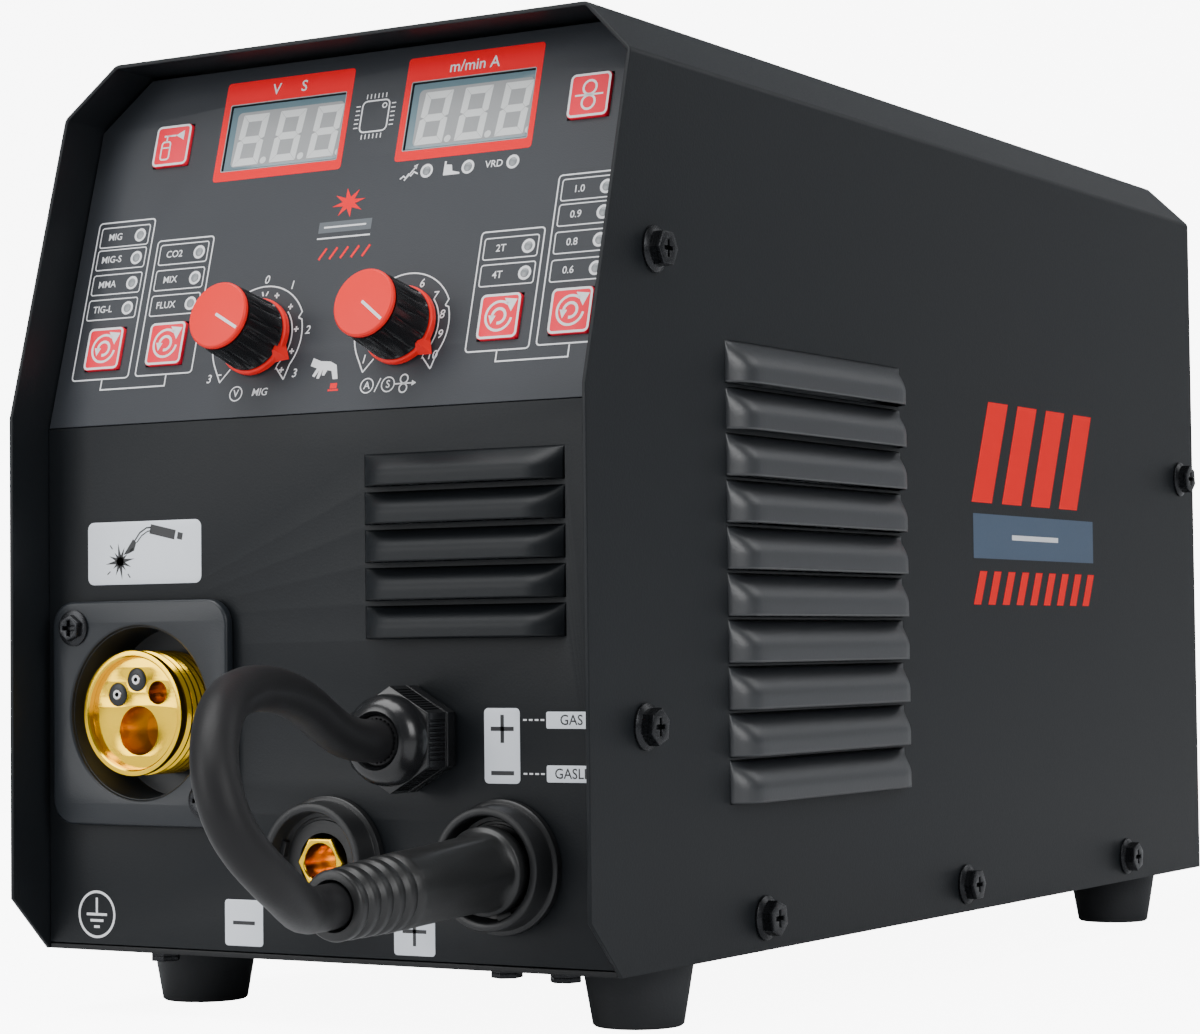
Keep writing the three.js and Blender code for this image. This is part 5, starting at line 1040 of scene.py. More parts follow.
# Floor of the holes in the darkened brass: painted shade at the bottom of the holes.
seat(turned_piece("torch_hole_floor", [(0, -8.2), (15.2, -8.2), (15.2, -7.9), (0, -7.9)], BRASS_PLACE, 40),
     "case", "brass", shaded_hole_brass)
sleeves = [turned_piece(f"sleeve_{key}", [(1.5, -2), (3.1, -2), (3.1, 4.1), (2.7, 4.35), (1.5, 4.35),
                                          (1.5, -2)],
                        BRASS_PLACE @ Matrix.Translation((*HOLES[key][:2], 0)), 32)
           for key in ("left", "middle")]
seat(gathered("torch_sleeves", sleeves), "case", "black_plastic", flange_nylon)
pins = [turned_piece(f"pin_{key}", [(0.65, -1), (1.5, -1), (1.5, 4.2), (1.3, 4.5), (0.65, 4.5), (0.65, -1)],
                     BRASS_PLACE @ Matrix.Translation((*HOLES[key][:2], 0)), 24)
        for key in ("left", "middle")]
bright_steel = made_of("bright_steel", (0.55, 0.56, 0.57), (0.63, 0.64, 0.65), (0.18, 0.28), 2400, 0.000008,
                       patch_size=60, metallic=1.0)
seat(gathered("torch_contacts", pins), "case", "brass", bright_steel)
flange_screws = []
for k, (x, y) in enumerate([(-22.8, 23.6), (22.8, -23.6)]):
    spot = BRASS_PLACE @ Matrix.Translation((x, y, 3.5))
    flange_screws.append(turned_piece(f"fs_{k}", [(0, 0), (5.0, 0), (5.0, 0.6), (4.2, 0.9), (0, 0.9)], spot,
                                      32))
    flange_screws.append(plate(f"ft_{k}", round_path(0, 0, 3.7, 6, 0.4), [cross_path(0, 0, 2.1, 1.0)], 0.6,
                               2.6, spot, 0.4))
seat(gathered("torch_flange_screws", flange_screws), "case", "steel", screw_black)


# ---- Cable gland ---------------------------------------------------------------------
# Black nylon gland: a plain hexagon against the panel, a clamp nut with fine ribs on its
# flats, a glossy dome, and a toothed seal round the cable.
GLAND = FRONT @ Matrix.Translation((*GLAND_PLACE, 0))
gland_nylon = made_of("gland_nylon", (0.008, 0.0085, 0.0095), (0.011, 0.0115, 0.0125), (0.20, 0.28), 1800,
                      0.000015, patch_size=50, specular=0.5)
hex_corner = 24 / math.sqrt(3)


def hexagon(corner, turn=math.pi / 2, notch=0.0, teeth=9):
    """A hexagon whose flats may carry small ribs."""
    corners = [Vector((corner * math.cos(turn + math.pi * k / 3),
                       corner * math.sin(turn + math.pi * k / 3))) for k in range(6)]
    path = []
    for a, b in zip(corners, corners[1:] + corners[:1]):
        path.append(tuple(a))
        if notch:
            way = (b - a).normalized()
            inward = Vector((-way.y, way.x))
            for k in range(teeth):
                for share, depth in ((0.18, 0), (0.30, notch), (0.62, notch), (0.74, 0)):
                    spot = a.lerp(b, 0.1 + 0.8 * (k + share) / teeth)
                    path.append(tuple(spot + inward * depth))
    return path


base_hex = plate("gland_hex", hexagon(hex_corner), [round_path(0, 0, 6.1, 40)], 0.3, 4.5, GLAND, 0.5)
neck = turned_piece("gland_neck", [(6.1, -12), (9.8, -12), (9.8, 0.4), (6.1, 0.4), (6.1, -12)], GLAND, 48)
seat(gathered("gland_base", [base_hex, neck]), "case", "black_plastic", gland_nylon, "gland_body")
ribbed = plate("gland_ribbed", hexagon(hex_corner, notch=0.55), [round_path(0, 0, 6.3, 40)], 5.3, 12.6,
               GLAND, 0.0)
collar_low = plate("gland_edge", hexagon(hex_corner + 0.1), [round_path(0, 0, 6.3, 40)], 4.8, 5.4, GLAND,
                   0.15)
collar_top = plate("gland_top", hexagon(hex_corner), [round_path(0, 0, 6.3, 40)], 12.5, 13.4, GLAND, 0.35)
dome = turned_piece("gland_dome", [(6.3, 12.6), (11.9, 12.6), (11.9, 14.2), (11.6, 16.2), (10.6, 18.3),
                                   (9.1, 19.6), (7.6, 20.0), (6.9, 19.5), (6.6, 18.4), (6.3, 17.5),
                                   (6.3, 12.6)], GLAND, 72, smooth_angle=60)
seat(gathered("gland_clamp", [ribbed, collar_low, collar_top, dome]), "case", "black_plastic", gland_nylon,
     "gland_nut")


def seal_tooth(r, z, angle):
    return 0.5 if r < 5.9 and math.cos(26 * angle) > 0 else 0.0


seal = turned_piece("gland_seal", [(6.5, 16.5), (6.5, 18.6), (6.2, 18.9), (5.85, 18.9), (5.85, 16.5),
                                   (6.5, 16.5)], GLAND, 156, seal_tooth)
seat(seal, "case", "black_rubber", cable_rubber)


# ---- Output sockets ------------------------------------------------------------------
# Two black dinse-type sockets: a washer flange, a turned ring with a hollow for the
# plug's collar, and a hexagonal brass insert with a round bore.
socket_black = made_of("socket_black", (0.010, 0.0105, 0.0115), (0.014, 0.0145, 0.0155), (0.36, 0.46), 1800,
                       0.00003, patch_size=50, specular=0.45)


for key, spot in SOCKET_PLACES.items():
    place = FRONT @ Matrix.Translation((*spot, 0))
    housing = turned_piece(f"socket_{key}_ring", [(7.7, -15), (10.6, -15), (10.6, 0.3), (17.3, 0.3),
                                                  (17.3, 2.2), (16.9, 2.6), (16.2, 2.7), (15.95, 3.1),
                                                  (15.9, 8.7), (15.6, 9.4), (15.2, 9.6), (14.0, 9.6),
                                                  (13.6, 9.3), (13.4, 8.8), (13.4, 4.2), (13.0, 3.7),
                                                  (12.0, 3.6), (11.8, 3.3), (11.2, 3.3), (11.0, 3.6),
                                                  (7.7, 3.6), (7.7, -15)], place, 96, smooth_angle=32)
    stops = [plate(f"stop_{key}_{k}", [(13.6 * math.cos(a), 13.6 * math.sin(a)),
                                       (13.6 * math.cos(a + 0.35), 13.6 * math.sin(a + 0.35)),
                                       (11.9 * math.cos(a + 0.35), 11.9 * math.sin(a + 0.35)),
                                       (11.9 * math.cos(a), 11.9 * math.sin(a))], [], 3.5, 5.4, place, 0.15)
             for k, a in enumerate((0.6, 2.7, 4.8))]
    seat(gathered(f"socket_{key}_body", [housing, *stops]), "case", "black_plastic", socket_black,
         f"socket_{key}_housing")
    insert = plate(f"socket_{key}_hex", round_path(0, 0, 7.3, 6, 0), [round_path(0, 0, 5.0, 40)], -14, 5.3,
                   place, 0.45)
    floor = turned_piece(f"socket_{key}_floor", [(0, -14.6), (6.9, -14.6), (6.9, -13.6), (0, -13.6)], place,
                         24)
    stud = turned_piece(f"socket_{key}_stud", [(0, -26), (4, -26), (4, -14.4), (0, -14.4)], place, 24)
    seat(gathered(f"socket_{key}_brass", [insert, floor, stud]), "case", "brass", brass,
         f"socket_{key}_insert")


# ---- Plug ----------------------------------------------------------------------------
# A moulded rubber sleeve on a brass pin: a collar in the socket's ring, long flats on
# the body and five bend rings at the cable end. A quarter turn locks it.
PLUG_DROOP = math.radians(3.2)
PLUG = FRONT @ Matrix.Translation((*SOCKET_PLACES["plus"], 0)) @ Matrix.Rotation(PLUG_DROOP, 4, "X")
plug_rubber = made_of("plug_rubber", (0.011, 0.0115, 0.012), (0.017, 0.0175, 0.018), (0.34, 0.44), 1600,
                      0.00004, patch_size=45, specular=0.45)
PLUG_LENGTH, RIB_START, RIBS = 75.0, 51.0, 5
sleeve_rows = [(4.4, 6.3), (11.2, 6.3), (11.4, 6.7), (11.4, 10.3), (11.1, 10.7), (10.5, 11.0), (10.3, 11.8)]
sleeve_rows += [(10.3 - 0.9 * k / 20, 12.0 + 38.4 * k / 20) for k in range(21)]
pitch = (PLUG_LENGTH - RIB_START) / RIBS
for k in range(RIBS):
    z = RIB_START + k * pitch
    r = 9.4 - 0.8 * k / (RIBS - 1)
    sleeve_rows += [(r - 0.8, z + 0.3), (r - 0.95, z + 0.7), (r - 0.85, z + 1.1), (r - 0.2, z + 1.6),
                    (r, z + 2.1), (r, z + pitch - 0.9), (r - 0.2, z + pitch - 0.3)]
sleeve_rows += [(7.9, PLUG_LENGTH), (6.3, PLUG_LENGTH), (6.0, PLUG_LENGTH - 0.5), (6.0, PLUG_LENGTH - 12),
                (4.4, PLUG_LENGTH - 12), (4.4, 6.3)]


def long_flats(r, z, angle):
    """Six flats between round ribs, strongest at the socket and gone before the rings."""
    if r < 8.5 or z < 11.5 or z > 48:
        return 0.0
    fade = min(1.0, (z - 11.5) / 1.5) * max(0.0, min(1.0, (46 - z) / 26))
    return 1.0 * fade * (0.5 - 0.5 * math.cos(6 * angle)) ** 0.7


sleeve = turned_piece("plug_rubber_sleeve", sleeve_rows, PLUG, 120, long_flats, smooth_angle=50)
seat(sleeve, "plug", "black_rubber", plug_rubber, "plug_sleeve")
plug_brass = turned_piece("plug_brass_pin", [(0, -10), (3.5, -10), (4.1, -9.2), (4.1, 60), (0, 60)], PLUG,
                          32, ease=0.2)
seat(plug_brass, "plug", "brass", brass, "plug_pin")


# ---- Feet and underside --------------------------------------------------------------
# Tapered black rubber feet, each held by a screw in its hollow, under a folded base tray
# with two short screws between them.
foot_rubber = made_of("foot_rubber", (0.024, 0.0255, 0.028), (0.032, 0.034, 0.037), (0.5, 0.62), 1300,
                      0.00006, patch_size=60, specular=0.35)
for key in ("front_left", "front_right", "rear_left", "rear_right"):
    low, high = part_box(f"foot_{key}")
    top = Matrix.Translation(((low.x + high.x) / 2, (low.y + high.y) / 2, high.z)) @ Matrix.Scale(0.001, 4)
    foot = turned_piece(f"foot_{key}_rubber", [(0, -8), (4.7, -8), (5, -8.3), (5, -16.7), (5.5, -17.2),
                                               (11.6, -17.2), (12.2, -16.7), (13.6, -8.6), (14.8, -1.4),
                                               (15.2, -1.0), (15.2, -0.1), (0, -0.1)], top, 72,
                        smooth_angle=40)
    seat(foot, "case", "black_rubber", foot_rubber, f"foot_{key}")


# ---- Base tray -----------------------------------------------------------------------
# The same coated steel: a flat plate with its sides turned up inside the cover. Two
# short black screws stand between the feet, and one sits beside the front foot.
def eased(name, node, edge, smooth_angle=34, joined=0.00002):
    """A finer copy of a CAD node: its facets joined into flats and its edges rounded."""
    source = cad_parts[node]
    shell = bmesh.new()
    shell.from_mesh(source.data)
    bmesh.ops.remove_doubles(shell, verts=shell.verts, dist=joined)
    bmesh.ops.dissolve_limit(shell, angle_limit=math.radians(1), verts=shell.verts, edges=shell.edges)
    mesh = bpy.data.meshes.new(name)
    shell.to_mesh(mesh)
    shell.free()
    piece = finished(name, mesh, smooth_angle)
    if edge:
        rim = piece.modifiers.new("edges", "BEVEL")
        rim.width = edge / 1000
        rim.segments = 3
        rim.limit_method = "ANGLE"
        rim.angle_limit = math.radians(smooth_angle)
        rim.use_clamp_overlap = True
        firm = piece.modifiers.new("flats", "WEIGHTED_NORMAL")
        firm.keep_sharp = False
        applied(piece)
    return piece


tray_coat = made_of("tray_coat", (0.0065, 0.0072, 0.0082), (0.0085, 0.0092, 0.0104), (0.44, 0.54), 1500,
                    0.00004, patch_size=12, specular=0.3)
seat(eased("base_tray_sheet", "base_tray", 0.35), "case", "powder_coat", tray_coat, "base_tray")
BELOW = case_placing(0, 0, 0) @ Matrix.Rotation(math.pi, 4, "X")
under_screws = []
for k, (x, y) in enumerate([(-66, 33), (46, 36), (66, 33), (-66, 372), (66, 372), (0, 214)]):
    under_screws += flanged_screw(f"under_screw_{k}", BELOW @ Matrix.Translation((x, -y, 0)), 4.2, 5.4, 4.0,
                                  0.4 * k)
seat(gathered("under_screws", under_screws), "case", "steel", screw_black)


# ---- Side door and its hinges --------------------------------------------------------
# A folded steel pan over the wire feeder, coated like the cover. It turns on two pinned
# barrel hinges at the rear edge, each leaf fixed with two domed rivets.
DOOR_REAR_Y = 405.0
HINGE_HEIGHTS = (52.0, 196.0)
PIVOT_OUT, HINGE_HALF = 3.2, 15.0
hinge_steel = made_of("hinge_steel", (0.010, 0.0108, 0.012), (0.014, 0.015, 0.0165), (0.34, 0.44), 1500,
                      0.00003, patch_size=40, specular=0.5)


def rivets(name, spots):
    heads = [turned_piece(f"{name}_{k}", [(0, 0), (2.2, 0), (2.1, 0.5), (1.6, 1.0), (0.8, 1.3), (0, 1.35)],
                          LEFT @ Matrix.Translation((-y, z, 1.2)), 20) for k, (y, z) in enumerate(spots)]
    return gathered(name, heads)


seat(eased("door_pan", "side_door", 0.5), "door", "powder_coat", powder_coat, "side_door")
seat(rivets("door_rivets", [(396.5, h + z) for h in HINGE_HEIGHTS for z in (4.0, 11.0)]), "door", "steel",
     hinge_steel)
fixed_hinges = []
for k, h in enumerate(HINGE_HEIGHTS):
    fixed_hinges.append(plate(f"leaf_{k}", soft_rectangle(-418, -405.6, h - HINGE_HALF, h, 1.2, 4), [], 0,
                              1.2, LEFT, 0.3))
    fixed_hinges.append(plate(f"knuckle_web_{k}", soft_rectangle(-408, -405, h - HINGE_HALF, h, 0.6, 3), [],
                              1.0, PIVOT_OUT, LEFT, 0.3))
    post = case_placing(-side - PIVOT_OUT, DOOR_REAR_Y, h)
    fixed_hinges.append(turned_piece(f"knuckle_{k}",
                                     [(0, -HINGE_HALF), (2.5, -HINGE_HALF), (2.9, -HINGE_HALF + 0.4),
                                      (2.9, -0.4), (2.6, -0.05), (0, -0.05)], post, 32))
    fixed_hinges.append(turned_piece(f"pin_{k}", [(0, -1), (1.45, -1), (1.45, 13.2), (1.0, 13.9),
                                                  (0, 13.9)], post, 20))
seat(gathered("hinge_halves", fixed_hinges), "case", "powder_coat", hinge_steel)
seat(rivets("hinge_rivets", [(414, h - z) for h in HINGE_HEIGHTS for z in (4.0, 11.0)]), "case", "steel",
     hinge_steel)


# ---- Door latch ----------------------------------------------------------------------
# A moulded nylon quarter-turn knob with a finger bar outside and a steel cam inside that
# turns behind the edge of the doorway.
LATCH = LEFT @ Matrix.Translation((-72, 124, 0))
nylon_black = made_of("nylon_black", (0.009, 0.0095, 0.0105), (0.013, 0.0135, 0.0145), (0.36, 0.48), 1600,
                      0.00004, patch_size=60, specular=0.45)


def grip_flutes(r, z, angle):
    return 0.35 * (0.5 + 0.5 * math.cos(24 * angle)) ** 3 if r > 8.6 else 0.0


latch_parts = [turned_piece("latch_disc", [(0, 0.3), (8.7, 0.3), (9, 0.6), (9, 4.0), (8.7, 4.6), (8.0, 5.0),
                                           (6.9, 5.0), (6.6, 4.6), (0, 4.6)], LATCH, 144, grip_flutes),
               plate("latch_bar", soft_rectangle(-1.7, 1.7, -6.6, 7.9, 1.5, 5), [], 4.2, 9.0, LATCH, 0.6),
               turned_piece("latch_spindle", [(0, -4.2), (3.6, -4.2), (4, -3.8), (4, 0.4), (0, 0.4)], LATCH,
                            32), plate("latch_cam", soft_rectangle(-4, 4, -4, 22, 1.8, 5), [], -3.0, -1.5,
                                       LATCH, 0.25),]
seat(gathered("latch_knob", latch_parts), "latch", "black_plastic", nylon_black, "door_latch")
pointer_dot = turned_piece("latch_dot", [(0, 0), (0.9, 0), (0.8, 0.15), (0, 0.2)],
                           LATCH @ Matrix.Translation((0, 6.6, 9.0)), 20)
seat(pointer_dot, "latch", "black_plastic", white_ink)


# ---- Top handle ----------------------------------------------------------------------
# A bent steel bar in two moulded brackets screwed to the top. It folds flat behind the
# top edge, and a ribbed rubber sleeve covers the part that the hand holds.
HANDLE_X, HANDLE_Y, HANDLE_SPAN, HANDLE_RISE, HANDLE_REACH, BAR_RADIUS = 15.0, 148.0, 140.0, 9.0, 38.0, 4.5
bail_steel = made_of("bail_steel", (0.012, 0.0128, 0.014), (0.017, 0.018, 0.0195), (0.28, 0.38), 1400,
                     0.00002, patch_size=40, specular=0.5)
PIN_DEPTH = 6.0
arm_front, arm_rear = HANDLE_Y + BAR_RADIUS + 4, HANDLE_Y + HANDLE_SPAN - BAR_RADIUS - 4
bail_line = [(HANDLE_X, HANDLE_Y - PIN_DEPTH), (HANDLE_X, arm_front), (HANDLE_X - HANDLE_REACH, arm_front),
             (HANDLE_X - HANDLE_REACH, arm_rear), (HANDLE_X, arm_rear),
             (HANDLE_X, HANDLE_Y + HANDLE_SPAN + PIN_DEPTH)]
bail_curve = bpy.data.curves.new("handle_bar", "CURVE")
bail_curve.dimensions = "3D"
bail_curve.bevel_depth = BAR_RADIUS / 1000
bail_curve.bevel_resolution = 8
bail_curve.use_fill_caps = True
bail_path = rounded_corners(bail_line, 4.2, 8)
bail_run = bail_curve.splines.new("POLY")
bail_run.points.add(len(bail_path) - 1)
for knot, (x, y) in zip(bail_run.points, bail_path):
    knot.co = (*on_case(x, y, HEIGHT + HANDLE_RISE), 1)
bail_form = bpy.data.objects.new("handle_bar_form", bail_curve)
bpy.context.collection.objects.link(bail_form)
bpy.context.view_layer.update()
bail_mesh = bpy.data.meshes.new_from_object(bail_form.evaluated_get(bpy.context.evaluated_depsgraph_get()))
bpy.data.objects.remove(bail_form)
seat(finished("handle_bar", bail_mesh, 40), "handle", "powder_coat", bail_steel, "handle_bail")

GRIP_HALF = (HANDLE_SPAN - 46) / 2
grip_rows = [(4.9, -GRIP_HALF), (7.3, -GRIP_HALF), (8.0, -GRIP_HALF + 0.8), (8.0, -GRIP_HALF + 3.2)]
for k in range(18):
    z = -GRIP_HALF + 4 + k * (2 * GRIP_HALF - 8) / 18
    step = (2 * GRIP_HALF - 8) / 18
    grip_rows += [(7.45, z + 0.3), (7.35, z + 0.9), (7.45, z + 1.5), (7.95, z + 2.1), (8.0, z + 0.6 * step),
                  (7.95, z + 0.95 * step)]
grip_rows += [(8.0, GRIP_HALF - 3.2), (8.0, GRIP_HALF - 0.8), (7.3, GRIP_HALF), (4.9, GRIP_HALF),
              (4.9, -GRIP_HALF)]
grip_place = case_placing(HANDLE_X - HANDLE_REACH, HANDLE_Y + HANDLE_SPAN / 2,
                          HEIGHT + HANDLE_RISE) @ Matrix.Rotation(-math.pi / 2, 4, "X")
seat(turned_piece("handle_sleeve", grip_rows, grip_place, 56, smooth_angle=45), "handle", "black_rubber",
     foot_rubber, "handle_grip")
bracket_screws = []
TOP = case_placing(0, 0, HEIGHT)
for key, y in (("front", HANDLE_Y - 6), ("rear", HANDLE_Y + HANDLE_SPAN + 6)):
    seat(eased(f"bracket_{key}", f"handle_bracket_{key}", 0.7), "case", "black_plastic", nylon_black,
         f"handle_bracket_{key}")
    for k, x in enumerate((HANDLE_X - 9.6, HANDLE_X + 9.6)):
        spot = TOP @ Matrix.Translation((x, y, 4.0))
        bracket_screws.append(turned_piece(f"bs_{key}_{k}",
                                           [(0, 0.2), (1.9, 0.2), (1.9, 0.9), (1.4, 1.5), (0, 1.6)], spot,
                                           20))
seat(gathered("bracket_screws", bracket_screws), "case", "steel", bright_steel)


# ---- Rear panel and its fittings -----------------------------------------------------
# A coated panel with slots over the fan, a rocker switch, the cable gland for the mains
# lead, the gas nipple, an earth stud and a plain pale data plate.
REAR_Y = 426.0
REAR = case_placing(0, REAR_Y, 0) @ Matrix(((-1, 0, 0, 0), (0, 0, 1, 0), (0, 1, 0, 0), (0, 0, 0, 1)))
MAINS_GLAND_PLACE, FAN_PLACE = (-62, 62), (-36, 172)
seat(eased("rear_sheet", "rear_panel", 0.3), "case", "powder_coat", powder_coat, "rear_panel")
seat(eased("switch_frame", "power_switch_frame", 0.4), "case", "black_plastic", nylon_black,
     "power_switch_frame")
rocker_red = made_of("rocker_red", (0.62, 0.012, 0.014), (0.66, 0.016, 0.018), (0.22, 0.3), 1500, 0.00001,
                     patch_size=60, coat=0.2)
seat(eased("switch_paddle", "power_switch_rocker", 0.6, 30), "rocker", "red_plastic", rocker_red,
     "power_switch_rocker")

rear_nylon = [plate("mains_hex", hexagon(hex_corner), [round_path(0, 0, 5.1, 40)], 0.3, 4.5,
                    REAR @ Matrix.Translation((*MAINS_GLAND_PLACE, 0)), 0.5),
              plate("mains_nut", hexagon(hex_corner - 0.4, notch=0.5), [round_path(0, 0, 5.4, 40)], 4.9,
                    13.2, REAR @ Matrix.Translation((*MAINS_GLAND_PLACE, 0)), 0.0),
              turned_piece("mains_dome", [(5.2, -12), (9.8, -12), (9.8, 4.6), (11.4, 4.8), (11.4, 13.4),
                                          (10.9, 15.6), (9.9, 17.6), (8.4, 18.8), (6.4, 19.0), (5.6, 18.5),
                                          (5.2, 17.4), (5.2, -12)],
                           REAR @ Matrix.Translation((*MAINS_GLAND_PLACE, 0)), 64, smooth_angle=50),]
seat(gathered("mains_gland_clamp", rear_nylon), "case", "black_plastic", gland_nylon, "mains_gland")
seat(eased("gas_inlet_valve", "gas_valve", 0.4), "case", "brass", brass, "gas_valve")
rear_screws = []
for k, (dx, dz) in enumerate([(-41, -41), (41, -41), (-41, 41), (41, 41)]):
    rear_screws += flanged_screw(f"fan_screw_{k}",
                                 REAR @ Matrix.Translation((FAN_PLACE[0] + dx, FAN_PLACE[1] + dz, 0)), 3.4,
                                 4.3, 3.2, 0.3 * k)
for k, (x, z) in enumerate([(-82, 120), (82, 120), (-82, 20), (82, 20), (-30, 241), (30, 241)]):
    rear_screws += flanged_screw(f"panel_screw_{k}", REAR @ Matrix.Translation((x, z, 0)), 3.2, 4.1, 2.8,
                                 0.5 * k)
seat(gathered("rear_screws", rear_screws), "case", "steel", screw_black)
EARTH = REAR @ Matrix.Translation((10, 44, 0))
earth_parts = [turned_piece("earth_stud", [(0, 0), (2.9, 0), (2.9, 2.4), (2.6, 2.5), (2.6, 2.8), (2.9, 2.9),
                                           (2.9, 2.9), (0, 2.9)], EARTH, 24),
               plate("earth_nut", round_path(0, 0, 5.8, 6), [], 0.9, 2.6, EARTH, 0.3),
               turned_piece("earth_washer", [(0, 0), (6.6, 0), (6.6, 0.8), (0, 0.8)], EARTH, 40)]
seat(gathered("earth_terminal", earth_parts), "case", "brass", brass)
data_plate = plate("data_plate", soft_rectangle(-34, 40, 66, 112, 2, 5), [], 0, 0.3, REAR, 0.1)
seat(data_plate, "case", "graphic_face", vinyl)
rules = [stroke([(-30, z), (36, z)], 0.4) for z in (73, 80, 87, 94,
                                                    101)] + [stroke([(x, 70), (x, 101)], 0.4)
                                                             for x in (-8, 14)]
rules += [stroke([(-28, 106), (4, 106)], 1.4)]
printed("data_plate_rules", rules, REAR, 0.32, dark_ink, "graphic_face")
rear_marks = [ring(24, 44, 5.2, 4.7, 40), stroke([(24, 47.6), (24, 44.2)], 0.6)]
rear_marks += [stroke([(24 - w, z), (24 + w, z)], 0.6) for w, z in ((2.8, 44), (1.8, 42.7), (0.8, 41.4))]
rear_marks += [ring(80, 189, 2.6, 2.0, 30), stroke([(80, 200), (80, 205)], 0.7),
               lettering("GAS", 48, 62, 4.2)]
rear_marks += [ring(-62, 86, 4.2, 3.7, 36), stroke([(-65, 86), (-63.6, 87.4), (-62, 86), (-60.4, 84.6),
                                                    (-59, 86)], 0.6)]
printed("rear_marks", rear_marks, REAR, 0.04, white_ink, "graphic_face")


# ---- Fan -----------------------------------------------------------------------------
# A square black axial fan behind the slots: a moulded frame with a four-armed hub, and a
# rotor of seven twisted blades on a domed hub.
fan_plastic = made_of("fan_plastic", (0.014, 0.0145, 0.0155), (0.019, 0.0195, 0.0205), (0.34, 0.46), 1500,
                      0.00004, patch_size=60, specular=0.45)
FAN = REAR @ Matrix.Translation((*FAN_PLACE, 0))
FAN_BLADES, FAN_TIP, FAN_HUB = 7, 40.6, 17.0
FAN_MIDDLE = -15.6
seat(eased("fan_housing", "fan_frame", 0.5), "case", "black_plastic", fan_plastic, "fan_frame")
blade_points, blade_faces = [], []
BLADE_ROWS, BLADE_COLUMNS = 9, 10
for k in range(FAN_BLADES):
    base = len(blade_points)
    for face_side in (1, -1):
        for i in range(BLADE_ROWS):
            share = i / (BLADE_ROWS - 1)
            r = FAN_HUB - 1.2 + (FAN_TIP - FAN_HUB + 1.2) * share
            pitch_angle = math.radians(52 - 20 * share)
            chord = 19.0 + 5 * share
            for j in range(BLADE_COLUMNS):
                t = j / (BLADE_COLUMNS - 1) - 0.5
                thick = 0.75 * math.sqrt(max(0.0, 1 - (2 * t) ** 2)) * (1 - 0.3 * share)
                camber = 1.5 * (1 - (2 * t) ** 2)
                along = t * chord
                u = along * math.cos(pitch_angle) - (camber + face_side * thick) * math.sin(pitch_angle)
                w = along * math.sin(pitch_angle) + (camber + face_side * thick) * math.cos(pitch_angle)
                w = max(-8.6, min(8.6, w))
                angle = 2 * math.pi * k / FAN_BLADES + u / r + 0.22 * share
                blade_points.append((r * math.cos(angle), r * math.sin(angle), FAN_MIDDLE + w))
    block = BLADE_ROWS * BLADE_COLUMNS
    for i in range(BLADE_ROWS - 1):
        for j in range(BLADE_COLUMNS - 1):
            a = base + i * BLADE_COLUMNS + j
            blade_faces.append((a, a + 1, a + BLADE_COLUMNS + 1, a + BLADE_COLUMNS))
            blade_faces.append((a + block, a + block + BLADE_COLUMNS, a + block + BLADE_COLUMNS + 1,
                                a + block + 1))
    tip = base + (BLADE_ROWS - 1) * BLADE_COLUMNS
    for j in range(BLADE_COLUMNS - 1):
        blade_faces.append((tip + j, tip + j + 1, tip + block + j + 1, tip + block + j))
blades = piece_from("fan_blades", blade_points, blade_faces, FAN, 50)
hub = turned_piece("fan_hub", [(2.4, -26.2), (16.4, -26.2), (17, -25.6), (17, -6.2), (16.2, -4.6),
                               (14.6, -3.9), (0, -3.7)], FAN, 64, smooth_angle=40)
seat(gathered("fan_wheel", [blades, hub]), "fan", "black_plastic", fan_plastic, "fan_rotor")
hub_label = turned_piece("fan_hub_label", [(0, -3.72), (12.4, -3.72), (12.4, -3.6), (0, -3.6)], FAN, 48)
hub_foil = made_of("hub_foil", (0.055, 0.058, 0.062), (0.070, 0.073, 0.078), (0.40, 0.50), 1500, 0.00001,
                   specular=0.25)
seat(hub_label, "fan", "graphic_face", hub_foil)


# ---- Wire feeder and spool -----------------------------------------------------------
# Behind the door: a zinc-plated divider, an aluminium feed plate with a geared motor and
# two steel rolls, and a plastic spool of copper-coated wire on a black spindle.
zinc = made_of("zinc_plate", (0.48, 0.50, 0.53), (0.58, 0.60, 0.62), (0.32, 0.46), 500, 0.00002,
               patch_size=50, metallic=0.9)
aluminium = made_of("cast_aluminium", (0.50, 0.51, 0.53), (0.58, 0.59, 0.61), (0.36, 0.48), 900, 0.00004,
                    patch_size=40, metallic=0.9)
motor_steel = made_of("motor_steel", (0.34, 0.35, 0.37), (0.42, 0.43, 0.45), (0.28, 0.4), 1200, 0.00002,
                      patch_size=40, metallic=0.95)
spool_grey = made_of("spool_plastic", (0.035, 0.036, 0.04), (0.045, 0.046, 0.05), (0.32, 0.42), 1500,
                     0.00003, patch_size=40)
copper_wire = made_of("copper_wire", (0.62, 0.25, 0.10), (0.72, 0.31, 0.14), (0.22, 0.34), 2200, 0.00002,
                      patch_size=70, metallic=1.0)
seat(eased("divider_sheet", "centre_divider", 0.35), "case", "zinc_sheet", zinc, "centre_divider")
seat(eased("feeder_plate", "feed_plate", 0.6), "case", "aluminium", aluminium, "feed_plate")
seat(eased("feeder_motor", "feed_motor", 0.8), "case", "steel", motor_steel, "feed_motor")
seat(eased("feeder_arm", "pressure_arm", 0.6), "arm", "black_plastic", nylon_black, "pressure_arm")
seat(eased("spindle", "spool_spindle", 0.6), "case", "black_plastic", nylon_black, "spool_spindle")
